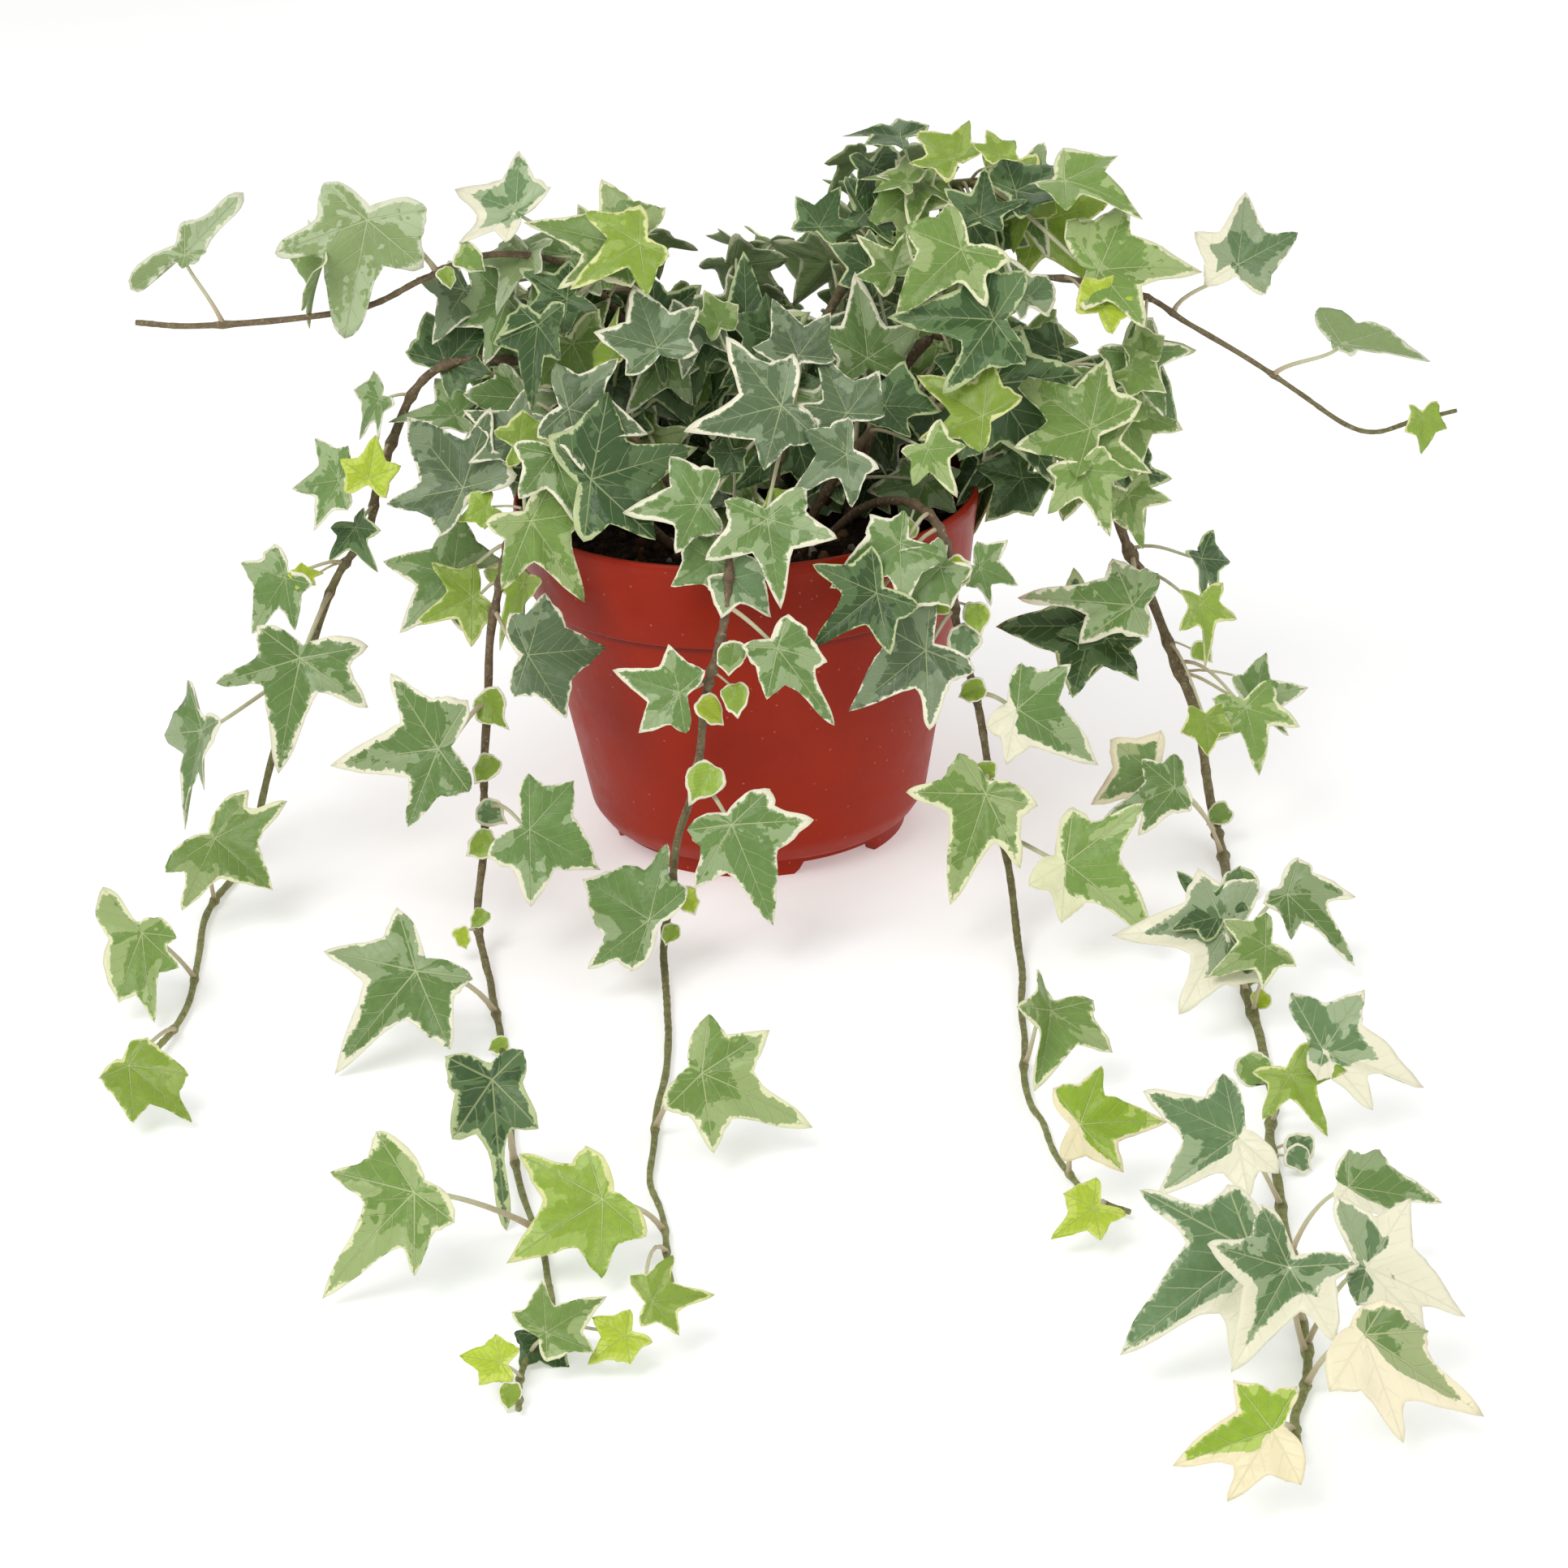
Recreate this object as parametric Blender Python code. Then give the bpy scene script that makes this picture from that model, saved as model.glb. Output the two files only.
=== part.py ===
"""Potted ivy: a round nursery pot with soil, trailing runners, a leafy crown and the runners' large leaves.

Lengths are in metres. The pot stands on z = 0 with its axis on the z axis, and the front is towards -y.
Every object is one node and one closed body. Leaves that share a node with their stem are joined to it.
"""
import math

import bmesh
import bpy
from mathutils import Vector
from mathutils.bvhtree import BVHTree

MM = 0.001

# ---- pot and soil (mm) -------------------------------------------------------------------------------
POT_SIDES = 36
FOOT_HEIGHT = 4.5
FOOT_OUTER, FOOT_INNER = 48.0, 44.0
PAD_RADIUS = 12.0
NOTCH_CENTRES = (-58.3, 31.7, 121.7, 211.7)
NOTCH_WIDTH = 35.0
NOTCH_HEIGHT = 4.0
NOTCH_INWARD, NOTCH_OUTWARD, NOTCH_BELOW = 2.0, 6.0, 2.0
FOOT_TOP_Z = 5.2
FLOOR_TOP_Z = 7.0
POT_OUTER = [(46.0, 4.5), (51.5, 6.8), (55.4, 12.5), (68.7, 84.0), (69.8, 87.5), (71.6, 88.0),
             (75.0, 114.0), (74.6, 116.0)]
POT_INNER = [(73.0, 116.0), (70.1, 89.5), (67.2, 84.0), (53.9, 13.0), (46.0, 7.0)]
SOIL_BOTTOM_Z = 7.4
SOIL_PROFILE = [(44.0, SOIL_BOTTOM_Z), (53.1, 13.4), (66.6, 83.8), (69.5, 89.6), (70.7, 100.5)]
SOIL_TOP = [(50.0, 101.6), (25.0, 102.6)]
SOIL_CENTRE_Z = 102.4

# ---- stems: name -> (radius at root, radius at tip, points in mm) ------------------------------------
STEMS = {
    "runner_1": (1.7, 1.1, [(-20, 6, 104), (-38, 10, 136), (-62, 11, 155), (-88, 9, 160), (-104, 5, 152),
                            (-116, 2, 128), (-122, 0, 108), (-133, 0, 93), (-144, -2, 68), (-161, -5, 28),
                            (-167, -12, 8), (-171, -28, 2.4), (-176, -49, 2.2), (-178, -75, 2.2),
                            (-176, -109, 2.2), (-178, -141, 2.4), (-182, -160, 4)]),
    "runner_2": (1.6, 0.9, [(-24, -20, 104), (-40, -30, 124), (-58, -37, 128), (-72, -43, 122),
                            (-80, -49, 96), (-84, -56, 70), (-86, -66, 44), (-87, -78, 29),
                            (-89, -94, 11), (-87, -110, 4),
                            (-84, -125, 2.2), (-80, -160, 2.2), (-76, -184, 2.2), (-73, -236, 2.2),
                            (-67, -267, 2.2), (-62, -296, 2.2), (-60, -318, 2.4), (-66, -343, 2.2),
                            (-67, -364, 2.6)]),
    "runner_3": (1.6, 0.9, [(-2, -28, 104), (-4, -50, 124), (-5, -70, 128), (-6, -84, 118), (-10, -89, 98),
                            (-15, -92, 80), (-18, -95, 64), (-21, -99, 51), (-26, -104, 37), (-31, -114, 12),
                            (-31, -126, 4), (-31, -146, 2.2), (-30, -168, 2.2), (-33, -208, 2.2),
                            (-35, -246, 2.2), (-32, -268, 2.2), (-29, -306, 3)]),
    "runner_4": (1.6, 0.9, [(22, -24, 104), (38, -40, 122), (52, -56, 127), (60, -68, 120), (62, -72, 98),
                            (67, -77, 76), (70, -83, 56), (75, -95, 24), (77, -106, 9), (77, -120, 3),
                            (76, -140, 2.2), (74, -170, 2.2), (72, -212, 2.2), (75, -228, 2.2),
                            (78, -251, 2.2), (84, -271, 2.4), (94, -281, 3)]),
    "runner_5": (2.1, 1.3, [(32, -4, 104), (42, -4, 138), (60, -4, 164), (80, -6, 164), (99, -8, 150),
                            (112, -9, 125), (121, -9, 97), (130, -10, 73), (142, -16, 41), (146, -26, 18),
                            (147, -42, 5), (147, -72, 2.6), (143, -120, 2.6), (142, -166, 2.6),
                            (141, -211, 2.6), (136, -250, 2.6), (134, -290, 2.4), (131, -345, 2.4),
                            (128, -370, 2.4),
                            (123, -385, 2.4), (121, -402, 3)]),
    "runner_6": (1.5, 1.2, [(-14, 16, 104), (-28, 18, 150), (-48, 12, 185), (-74, 3, 196), (-98, 0, 190),
                            (-116, 0, 182), (-139, 0, 179), (-171, 0, 178), (-190, 0, 180)]),
    "runner_7": (1.5, 0.9, [(26, 14, 104), (50, 16, 150), (88, 8, 178), (125, 3, 174), (143, 0, 164),
                            (165, 0, 149), (179, 0, 139), (193, 0, 128), (203, 0, 125), (215, 0, 128),
                            (229, 0, 131)]),
    "shoot_1": (1.5, 1.1, [(-12, 28, 104), (-24, 30, 150), (-34, 20, 182), (-44, 10, 190)]),
    "shoot_2": (1.7, 1.1, [(10, 22, 104), (26, 34, 155), (52, 36, 195), (76, 26, 206), (94, 20, 202)]),
    "shoot_3": (1.5, 1.0, [(6, -14, 104), (12, -24, 136), (18, -34, 152), (24, -48, 148)]),
    "shoot_4": (1.5, 1.0, [(-14, -8, 104), (-34, -14, 138), (-56, -20, 146), (-74, -24, 138),
                           (-84, -28, 124)]),
    "shoot_5": (1.5, 1.0, [(18, -8, 104), (40, -16, 138), (64, -18, 146), (88, -20, 140),
                           (102, -24, 126)]),
    "shoot_6": (1.5, 1.0, [(-26, 36, 104), (-44, 52, 142), (-62, 68, 148), (-76, 82, 128)]),
    "shoot_7": (1.5, 1.0, [(28, 36, 104), (44, 54, 142), (60, 70, 150), (72, 84, 130)]),
    "shoot_8": (1.5, 1.0, [(2, 42, 104), (0, 64, 142), (-4, 84, 146), (-6, 98, 124)]),
}

# ---- leaves: name, stem, x, y, z, length, turn, lift, spin (mm and degrees) --------------------------
# (x, y, z) is where the stalk meets the blade and length runs from there to the tip of the middle lobe.
# turn and lift aim the upper side (0, 0 looks to the front), spin swings the tip from straight down.
LARGE_LEAVES = [
    ("leaf_01", "runner_1", -144, -30, 76, 37, 0, 30, -14),
    ("leaf_02", "runner_1", -175, -35, 55, 34, -65, 20, -3),
    ("leaf_03", "runner_1", -172, -63, 28, 25, 0, 45, 46),
    ("leaf_04", "runner_1", -190, -120, 24, 29, -20, 50, 22),
    ("leaf_05", "runner_1", -184, -194, 16, 25, 0, 55, 47),
    ("leaf_06", "runner_2", -94, -20, 99, 25, -10, 30, -100),
    ("leaf_07", "runner_2", -71, -35, 99, 25, -60, 25, -17),
    ("leaf_08", "runner_2", -70, -72, 89, 25, 10, 25, 90),
    ("leaf_09", "runner_2", -98, -80, 63, 35, -5, 30, -84),
    ("leaf_10", "runner_2", -71, -97, 42, 25, 5, 35, 56),
    ("leaf_11", "runner_2", -103, -159, 26, 38, -5, 45, -38),
    ("leaf_12", "runner_2", -76, -245, 30, 39, 0, 45, 3),
    ("leaf_13", "runner_2", -95, -297, 26, 35, -5, 45, -43),
    ("leaf_14", "runner_3", 7, -94, 96, 30, 5, 20, 33),
    ("leaf_15", "runner_3", -9, -112, 47, 33, 5, 30, 18),
    ("leaf_16", "runner_3", -35, -124, 22, 26, -5, 40, -124),
    ("leaf_17", "runner_3", -20, -231, 24, 34, 5, 45, 61),
    ("leaf_18", "runner_3", -46, -291, 20, 30, -5, 50, -57),
    ("leaf_19", "runner_4", 46, -77, 122, 25, 0, 30, -61),
    ("leaf_20", "runner_4", 38, -84, 109, 25, 0, 30, -54),
    ("leaf_21", "runner_4", 52, -87, 91, 29, 5, 25, -56),
    ("leaf_22", "runner_4", 80, -82, 68, 31, 5, 30, 52),
    ("leaf_23", "runner_4", 69, -99, 47, 35, 0, 35, -21),
    ("leaf_24", "runner_4", 92, -115, 30, 36, 5, 45, 45),
    ("leaf_25", "runner_4", 82, -204, 26, 25, 50, 35, -46),
    ("leaf_26", "runner_5", 122, -27, 79, 37, 0, 35, -99),
    ("leaf_27", "runner_5", 110, -15, 68, 31, 0, 40, -94),
    ("leaf_28", "runner_5", 131, -70, 34, 25, 0, 40, -70),
    ("leaf_29", "runner_5", 133, -168, 26, 33, -5, 40, -91),
    ("leaf_30", "runner_5", 156, -137, 26, 29, 10, 45, 36),
    ("leaf_31", "runner_5", 151, -238, 26, 30, 10, 45, 64),
    ("leaf_32", "runner_5", 121, -292, 30, 26, -5, 45, -55),
    ("leaf_33", "runner_5", 117, -355, 32, 41, -5, 45, -53),
    ("leaf_34", "runner_5", 125, -372, 36, 29, 0, 40, -33),
    ("leaf_35", "runner_5", 146, -317, 28, 25, 5, 45, 77),
    ("leaf_36", "runner_5", 142, -368, 32, 27, 10, 45, 60),
    ("leaf_37", "runner_5", 139, -386, 26, 34, 5, 45, 50),
    ("leaf_38", "runner_5", 113, -417, 20, 25, 0, 45, -74),
    ("leaf_39", "runner_6", -114, 0, 210, 38, 0, 15, -15),
    ("leaf_40", "runner_6", -134, -5, 197, 26, -70, 20, -21),
    ("leaf_41", "runner_7", 193, 0, 156, 28, 0, 70, 77),
]
# leaves that are joined to their stem's node: stem, x, y, z, length, turn, lift, spin
JOINED_LEAVES = [
    ("runner_1", -94, 10, 159, 24, -10, 30, 139), ("runner_1", -115, 0, 151, 17, -50, 25, -31),
    ("runner_1", -129, -10, 128, 22, -35, 25, -76), ("runner_1", -149, -10, 96, 23, -30, 25, -30),
    ("runner_1", -125, -10, 112, 16, -40, 20, 37), ("runner_2", -88, -30, 94, 21, 0, 30, -68),
    ("runner_3", -23, -95, 84, 22, -10, 20, -107), ("runner_3", -33, -338, 16, 16, 0, 50, 96),
    ("runner_4", 71, -60, 107, 16, 30, 25, 59), ("runner_4", 82, -266, 22, 24, 0, 45, 93),
    ("runner_5", 114, -20, 66, 22, 5, 30, -39), ("runner_5", 145, -15, 90, 21, 60, 25, 5),
    ("runner_5", 143, -30, 80, 20, 45, 25, -10), ("runner_5", 159, -40, 50, 20, 10, 35, 99),
    ("runner_5", 155, -50, 52, 22, 20, 30, 2), ("runner_5", 132, -165, 34, 19, 0, 40, -145),
    ("runner_5", 144, -178, 30, 19, 0, 45, -65), ("runner_5", 142, -243, 22, 20, 5, 50, 23),
    ("runner_6", -174, 0, 198, 24, 0, 75, -41), ("runner_7", 159, 5, 181, 21, 0, 30, 170),
    ("runner_2", -60, -344, 12, 18, 0, 50, 122),
    ("shoot_1", -68, 5, 209, 18, -20, 50, -111), ("shoot_1", -35, -15, 202, 29, 0, 45, -111),
    ("shoot_1", -29, -25, 205, 23, 0, 40, -60), ("shoot_1", -25, -40, 176, 22, 0, 40, -164),
    ("shoot_1", -39, -30, 171, 16, -60, 20, -145), ("shoot_1", 2, 5, 162, 27, 10, 15, 174),
    ("shoot_1", -53, -10, 184, 22, 0, 60, -66), ("shoot_1", -62, -20, 179, 25, -50, 20, 5),
    ("shoot_2", 77, -5, 203, 16, 0, 35, 171), ("shoot_2", 89, 5, 208, 22, 0, 60, 123),
    ("shoot_2", 55, 10, 211, 16, 0, 75, -120), ("shoot_2", 54, 20, 223, 19, 0, 80, -120),
    ("shoot_2", 70, 10, 218, 17, 0, 50, -141), ("shoot_2", 104, 0, 212, 25, 0, 75, 58),
    ("shoot_2", 70, -20, 197, 26, 0, 40, -49), ("shoot_2", 49, -10, 188, 16, 0, 35, -143),
    ("shoot_2", 27, 10, 198, 15, 0, 40, 153), ("shoot_2", 113, -15, 187, 30, 0, 45, 94),
    ("shoot_3", 18, -45, 173, 19, 0, 35, -160), ("shoot_3", 12, -60, 162, 28, 0, 35, -79),
    ("shoot_3", 32, -58, 158, 21, 0, 40, -160), ("shoot_3", 31, -70, 149, 19, 0, 35, -58),
    ("shoot_3", 6, -80, 133, 25, 0, 30, 6), ("shoot_3", -14, -72, 136, 22, 0, 35, -89),
    ("shoot_4", -53, -50, 161, 23, 0, 35, 71), ("shoot_4", -88, -35, 132, 30, -15, 35, -136),
    ("shoot_4", -58, -60, 150, 22, 20, 25, 11), ("shoot_4", -47, -62, 142, 32, 10, 30, 102),
    ("shoot_4", -91, -5, 146, 20, 0, 70, -97), ("shoot_4", -70, -30, 146, 19, 0, 40, -124),
    ("shoot_4", -66, -66, 131, 27, 20, 25, 26),
    ("shoot_5", 79, -30, 177, 30, 0, 35, -97), ("shoot_5", 108, -35, 142, 29, 0, 40, -133),
    ("shoot_5", 105, -45, 132, 20, 0, 30, 19), ("shoot_5", 110, -35, 135, 17, 0, 40, 66),
    ("shoot_5", 79, -20, 153, 34, 10, 25, 28), ("shoot_5", 74, -45, 151, 23, 0, 40, -128),
    ("shoot_5", 56, -60, 146, 16, 20, 25, 25), ("shoot_5", 120, -30, 118, 16, 0, 25, 14),
    ("shoot_5", 40, -15, 162, 25, 20, 20, 176),
]
# lobes of the leaves that have shapes of their own, as (angle from the tip, share of the length):
# bay, lobe, bay, lobe on one side, then lobe, bay, lobe, bay on the other
LOBES = {
    "leaf_01": [(40, .35), (65, .75), (90, .45), (110, .60), (-115, .45), (-85, .35), (-60, .75), (-40, .40)],
    "leaf_03": [(35, .55), (68, 1.0), (84, .55), (100, .75), (-100, .75), (-84, .60), (-68, 1.05), (-38, .55)],
    "leaf_04": [(18, .60), (35, .72), (47, .40), (62, .46), (-150, .68), (-85, .33), (-24, .80), (-12, .70)],
    "leaf_05": [(15, .65), (30, .72), (65, .38), (100, .38), (-105, .38), (-72, .42), (-40, .75), (-20, .58)],
    "leaf_06": [(32, .50), (63, 1.0), (92, .52), (115, .80), (-155, .65), (-122, .50), (-88, .75), (-38, .42)],
    "leaf_08": [(30, .58), (68, .80), (88, .50), (108, .56), (-115, .55), (-90, .50), (-66, .90), (-35, .60)],
    "leaf_09": [(40, .37), (64, .75), (90, .43), (120, .50), (-128, .50), (-92, .43), (-64, .78), (-40, .40)],
    "leaf_10": [(45, .55), (77, .80), (98, .55), (120, .68), (-115, .64), (-86, .55), (-60, 1.0), (-30, .60)],
    "leaf_11": [(32, .42), (63, .72), (94, .40), (118, .46), (-124, .50), (-96, .37), (-63, .73), (-37, .41)],
    "leaf_12": [(16, .39), (38, .48), (75, .22), (130, .30), (-120, .36), (-70, .28), (-37, .52), (-21, .40)],
    "leaf_13": [(33, .44), (47, .66), (74, .36), (95, .42), (-103, .53), (-82, .42), (-60, .65), (-33, .38)],
    "leaf_14": [(24, .44), (37, .52), (76, .33), (125, .36), (-130, .36), (-88, .29), (-50, .52), (-26, .38)],
    "leaf_15": [(37, .48), (70, .75), (90, .43), (110, .48), (-105, .42), (-78, .36), (-53, .70), (-29, .45)],
    "leaf_16": [(56, .55), (76, .92), (92, .62), (108, .68), (-108, .58), (-88, .50), (-69, .92), (-50, .60)],
    "leaf_17": [(24, .42), (56, .65), (81, .37), (107, .47), (-108, .47), (-83, .40), (-59, .70), (-36, .47)],
    "leaf_18": [(36, .52), (59, .76), (78, .46), (104, .56), (-104, .50), (-82, .44), (-61, .85), (-30, .52)],
    "leaf_19": [(38, .45), (59, .84), (93, .46), (129, .58), (-128, .40), (-102, .30), (-74, .50), (-42, .42)],
    "leaf_21": [(35, .42), (53, .85), (88, .42), (118, .56), (-133, .52), (-101, .44), (-67, .80), (-47, .44)],
    "leaf_22": [(44, .42), (73, .68), (95, .42), (118, .46), (-114, .38), (-92, .34), (-70, .58), (-40, .40)],
    "leaf_23": [(28, .45), (42, .72), (72, .38), (92, .46), (-128, .42), (-96, .38), (-71, .70), (-41, .38)],
    "leaf_24": [(45, .44), (75, .80), (98, .42), (121, .50), (-106, .40), (-80, .34), (-57, .56), (-28, .38)],
    "leaf_26": [(18, .42), (43, .60), (75, .27), (118, .32), (-122, .36), (-94, .30), (-61, .46), (-37, .34)],
    "leaf_27": [(40, .50), (76, .85), (100, .45), (130, .70), (-122, .36), (-98, .30), (-72, .64), (-38, .40)],
    "leaf_28": [(15, .55), (30, .80), (62, .36), (95, .38), (-112, .44), (-88, .34), (-62, .55), (-35, .38)],
    "leaf_30": [(30, .42), (45, .72), (85, .34), (117, .42), (-110, .30), (-80, .24), (-46, .52), (-22, .34)],
    "leaf_31": [(50, .42), (72, .70), (104, .44), (135, .60), (-90, .32), (-66, .27), (-36, .70), (-14, .46)],
    "leaf_32": [(35, .42), (64, .66), (82, .45), (100, .58), (-114, .66), (-88, .52), (-61, 1.05), (-30, .55)],
    "leaf_33": [(26, .44), (42, .68), (60, .34), (85, .35), (-108, .42), (-86, .36), (-64, .75), (-42, .40)],
    "leaf_35": [(35, .48), (56, .55), (75, .36), (95, .38), (-120, .25), (-60, .30), (-26, .64), (-13, .58)],
    "leaf_36": [(45, .45), (77, .75), (104, .45), (132, .70), (-90, .40), (-60, .36), (-28, .74), (-14, .60)],
    "leaf_37": [(22, .44), (38, .46), (60, .32), (90, .30), (-90, .50), (-66, .44), (-40, .80), (-28, .54)],
    "leaf_38": [(22, .50), (38, .80), (66, .44), (96, .57), (-140, .48), (-110, .36), (-71, .57), (-46, .38)],
    "leaf_39": [(32, .40), (62, .60), (84, .46), (113, .50), (-118, .46), (-85, .40), (-58, .80), (-38, .48)],
}
# leaves on the far side of the crown: stem, count, centre x, centre y, centre z, reach, first turn, turn step
FAR_SIDE = [
    ("shoot_6", 8, -56, 60, 152, 26, 140, 23),
    ("shoot_7", 8, 54, 62, 154, 26, 130, 25),
    ("shoot_8", 8, -2, 76, 150, 26, 135, 24),
    ("shoot_2", 5, 46, 44, 186, 24, 150, 31),
    ("shoot_1", 4, -36, 36, 164, 22, 160, 29),
]

BLADE_THICKNESS = 0.9
BLADE_FOLD, BLADE_DROOP = 0.22, 0.10
STALK_RADIUS = 0.8
STALK_SPANS, STALK_SIDES = 3, 3
STALK_OVERLAP = 0.3
STALK_GAP = 0.9
STALK_RISE = 0.12
STALK_APPROACH_SHARE, STALK_APPROACH_MOST = 0.4, 8
STALK_TIPWARD_SHARE, STALK_TIPWARD_MOST = 0.1, 1.5
STEM_SIDES = 5
FEW_STEM_POINTS = 12
STEM_SUBSTEPS = 5
CLEARANCE = 0.35
CLEARANCE_GROWTH = 0.03
FLOOR_CLEARANCE = 0.3
# blade outline of the other leaves as angle from the tip's direction and share of the length, mirrored
HALF_OUTLINE = [(0, 1.0), (28, 0.44), (60, 0.78), (94, 0.36), (130, 0.52), (180, 0.10)]
STALK_BAY = (180, 0.10)
MERGE_DISTANCE = 2e-6

for leftover in list(bpy.data.objects):
    bpy.data.objects.remove(leftover, do_unlink=True)


# ---- meshes as (points, faces) in metres -------------------------------------------------------------
def smooth_path(points, per_span):
    """Catmull-Rom curve through the points, per_span pieces to each span."""
    pts = [Vector(p) * MM for p in points]
    ends = [pts[0] * 2 - pts[1]] + pts + [pts[-1] * 2 - pts[-2]]
    out = []
    for i in range(1, len(ends) - 2):
        a, b, c, d = ends[i - 1:i + 3]
        for k in range(per_span):
            t = k / per_span
            out.append(0.5 * (2 * b + (c - a) * t + (2 * a - 5 * b + 4 * c - d) * t * t
                              + (3 * b - a - 3 * c + d) * t * t * t))
    return out + [pts[-1]]


def tube(path, radius_at, sides):
    """Closed tube along the path; radius_at gives the radius from the share of the way along."""
    points, faces = [], []
    tangent = (path[1] - path[0]).normalized()
    side = tangent.orthogonal().normalized()
    for i, here in enumerate(path):
        ahead = path[min(i + 1, len(path) - 1)] - path[max(i - 1, 0)]
        tangent = ahead.normalized()
        side = (side - tangent * side.dot(tangent)).normalized()
        other = tangent.cross(side)
        r = radius_at(i / (len(path) - 1))
        for k in range(sides):
            a = 2 * math.pi * k / sides
            points.append(here + (side * math.cos(a) + other * math.sin(a)) * r)
    for i in range(len(path) - 1):
        for k in range(sides):
            m = (k + 1) % sides
            a, b, c, d = i * sides + k, i * sides + m, (i + 1) * sides + m, (i + 1) * sides + k
            faces += [(a, b, c), (a, c, d)]
    last = (len(path) - 1) * sides
    for k in range(1, sides - 1):
        faces.append((0, k + 1, k))
        faces.append((last, last + k, last + k + 1))
    return points, faces


def leaf_axes(turn, lift, spin):
    """Unit vectors of a leaf: upper side, towards the tip, across."""
    a, e, s = math.radians(turn), math.radians(lift), math.radians(spin)
    up = Vector((math.sin(a) * math.cos(e), -math.cos(a) * math.cos(e), math.sin(e)))
    right = Vector((math.cos(a), math.sin(a), 0.0))
    down = Vector((math.sin(a) * math.sin(e), -math.cos(a) * math.sin(e), -math.cos(e)))
    tip = down * math.cos(s) + right * math.sin(s)
    return up, tip, up.cross(tip)


def blade_outline(name):
    """Round the blade from the tip of its middle lobe: its own lobes, or the usual ones mirrored."""
    if name in LOBES:
        return HALF_OUTLINE[:1] + LOBES[name][:4] + [STALK_BAY] + LOBES[name][4:]
    return HALF_OUTLINE + [(-a, r) for a, r in HALF_OUTLINE[-2:0:-1]]


def blade(outline, junction, length, axes, extra=0.0):
    """Lobed leaf blade of even thickness, folded up a little along its midrib and drooping at the tip."""
    up, tip, across = axes
    grow = 1.0 + extra * CLEARANCE_GROWTH
    half = (BLADE_THICKNESS * 0.5 + extra * CLEARANCE) * MM
    ring = []
    for angle, share in outline:
        u = share * length * grow * math.cos(math.radians(angle))
        v = share * length * grow * math.sin(math.radians(angle))
        w = BLADE_FOLD * abs(v) - BLADE_DROOP * max(u, 0.0) ** 2 / length
        ring.append(tip * u + across * v + up * w)
    n = len(ring)
    points = [junction + up * half] + [junction + p + up * half for p in ring]
    points += [junction - up * half] + [junction + p - up * half for p in ring]
    faces = []
    for k in range(n):
        m = (k + 1) % n
        a, b, c, d = 1 + k, 1 + m, n + 2 + k, n + 2 + m
        faces += [(0, a, b), (n + 1, d, c), (a, c, d), (a, d, b)]
    return points, faces


def stalk(start, junction, length, axes, attached, bend, extra=0.0):
    """Thin leaf stalk that leaves the stem at start and meets the blade from behind."""
    up, tip, _ = axes
    reach = (junction - start).length
    stop = BLADE_THICKNESS * 0.5 * MM
    end = junction - up * (stop - STALK_OVERLAP * MM if attached else stop + STALK_GAP * MM)
    second = start + (junction - start) * 0.3 + Vector((0, 0, 1)) * reach * STALK_RISE + bend * reach
    third = (end - up * min(reach * STALK_APPROACH_SHARE, STALK_APPROACH_MOST * MM)
             - tip * min(reach * STALK_TIPWARD_SHARE, STALK_TIPWARD_MOST * MM) + bend * reach * 0.3)
    path = []
    for i in range(STALK_SPANS + 1):
        t = i / STALK_SPANS
        path.append(start * (1 - t) ** 3 + second * 3 * t * (1 - t) ** 2 + third * 3 * t * t * (1 - t)
                    + end * t ** 3)
    r = (STALK_RADIUS + extra * CLEARANCE) * MM
    return tube(path, lambda t: r, STALK_SIDES)


def revolve(profile, sides):
    """Closed solid of revolution about z from a profile that starts and ends on the axis."""
    points, faces = [Vector((0, 0, profile[0][1])) * MM, Vector((0, 0, profile[-1][1])) * MM], []
    rings = profile[1:-1]
    for r, z in rings:
        for k in range(sides):
            a = 2 * math.pi * k / sides
            points.append(Vector((r * math.cos(a), r * math.sin(a), z)) * MM)
    for k in range(sides):
        m = (k + 1) % sides
        faces.append((0, 2 + m, 2 + k))
        for i in range(len(rings) - 1):
            a, b = 2 + i * sides + k, 2 + i * sides + m
            faces += [(a, b, b + sides), (a, b + sides, a + sides)]
        last = 2 + (len(rings) - 1) * sides
        faces.append((1, last + k, last + m))
    return points, faces


def prism(centre_deg, width_deg, inner, outer, low, high, steps=4):
    """Block that spans an angle and a radius, used to cut the notches out of the foot."""
    points, faces = [], []
    for i in range(steps + 1):
        a = math.radians(centre_deg - width_deg / 2 + width_deg * i / steps)
        for r, z in ((inner, low), (outer, low), (outer, high), (inner, high)):
            points.append(Vector((r * math.cos(a), r * math.sin(a), z)) * MM)
    for i in range(steps):
        for k in range(4):
            a, b = i * 4 + k, i * 4 + (k + 1) % 4
            faces += [(a, b, b + 4), (a, b + 4, a + 4)]
    last = steps * 4
    faces += [(0, 2, 1), (0, 3, 2), (last, last + 1, last + 2), (last, last + 2, last + 3)]
    return points, faces


# ---- objects -----------------------------------------------------------------------------------------
def make_object(name, shape):
    mesh = bpy.data.meshes.new(name)
    mesh.from_pydata([tuple(p) for p in shape[0]], [], shape[1])
    mesh.update()
    thing = bpy.data.objects.new(name, mesh)
    bpy.context.scene.collection.objects.link(thing)
    return thing


def outward(thing):
    """Triangulate and face every polygon outward."""
    bm = bmesh.new()
    bm.from_mesh(thing.data)
    bmesh.ops.remove_doubles(bm, verts=bm.verts, dist=MERGE_DISTANCE)
    bmesh.ops.triangulate(bm, faces=bm.faces)
    bmesh.ops.recalc_face_normals(bm, faces=bm.faces)
    if bm.calc_volume(signed=True) < 0:
        bmesh.ops.reverse_faces(bm, faces=bm.faces)
    bm.to_mesh(thing.data)
    bm.free()


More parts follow.
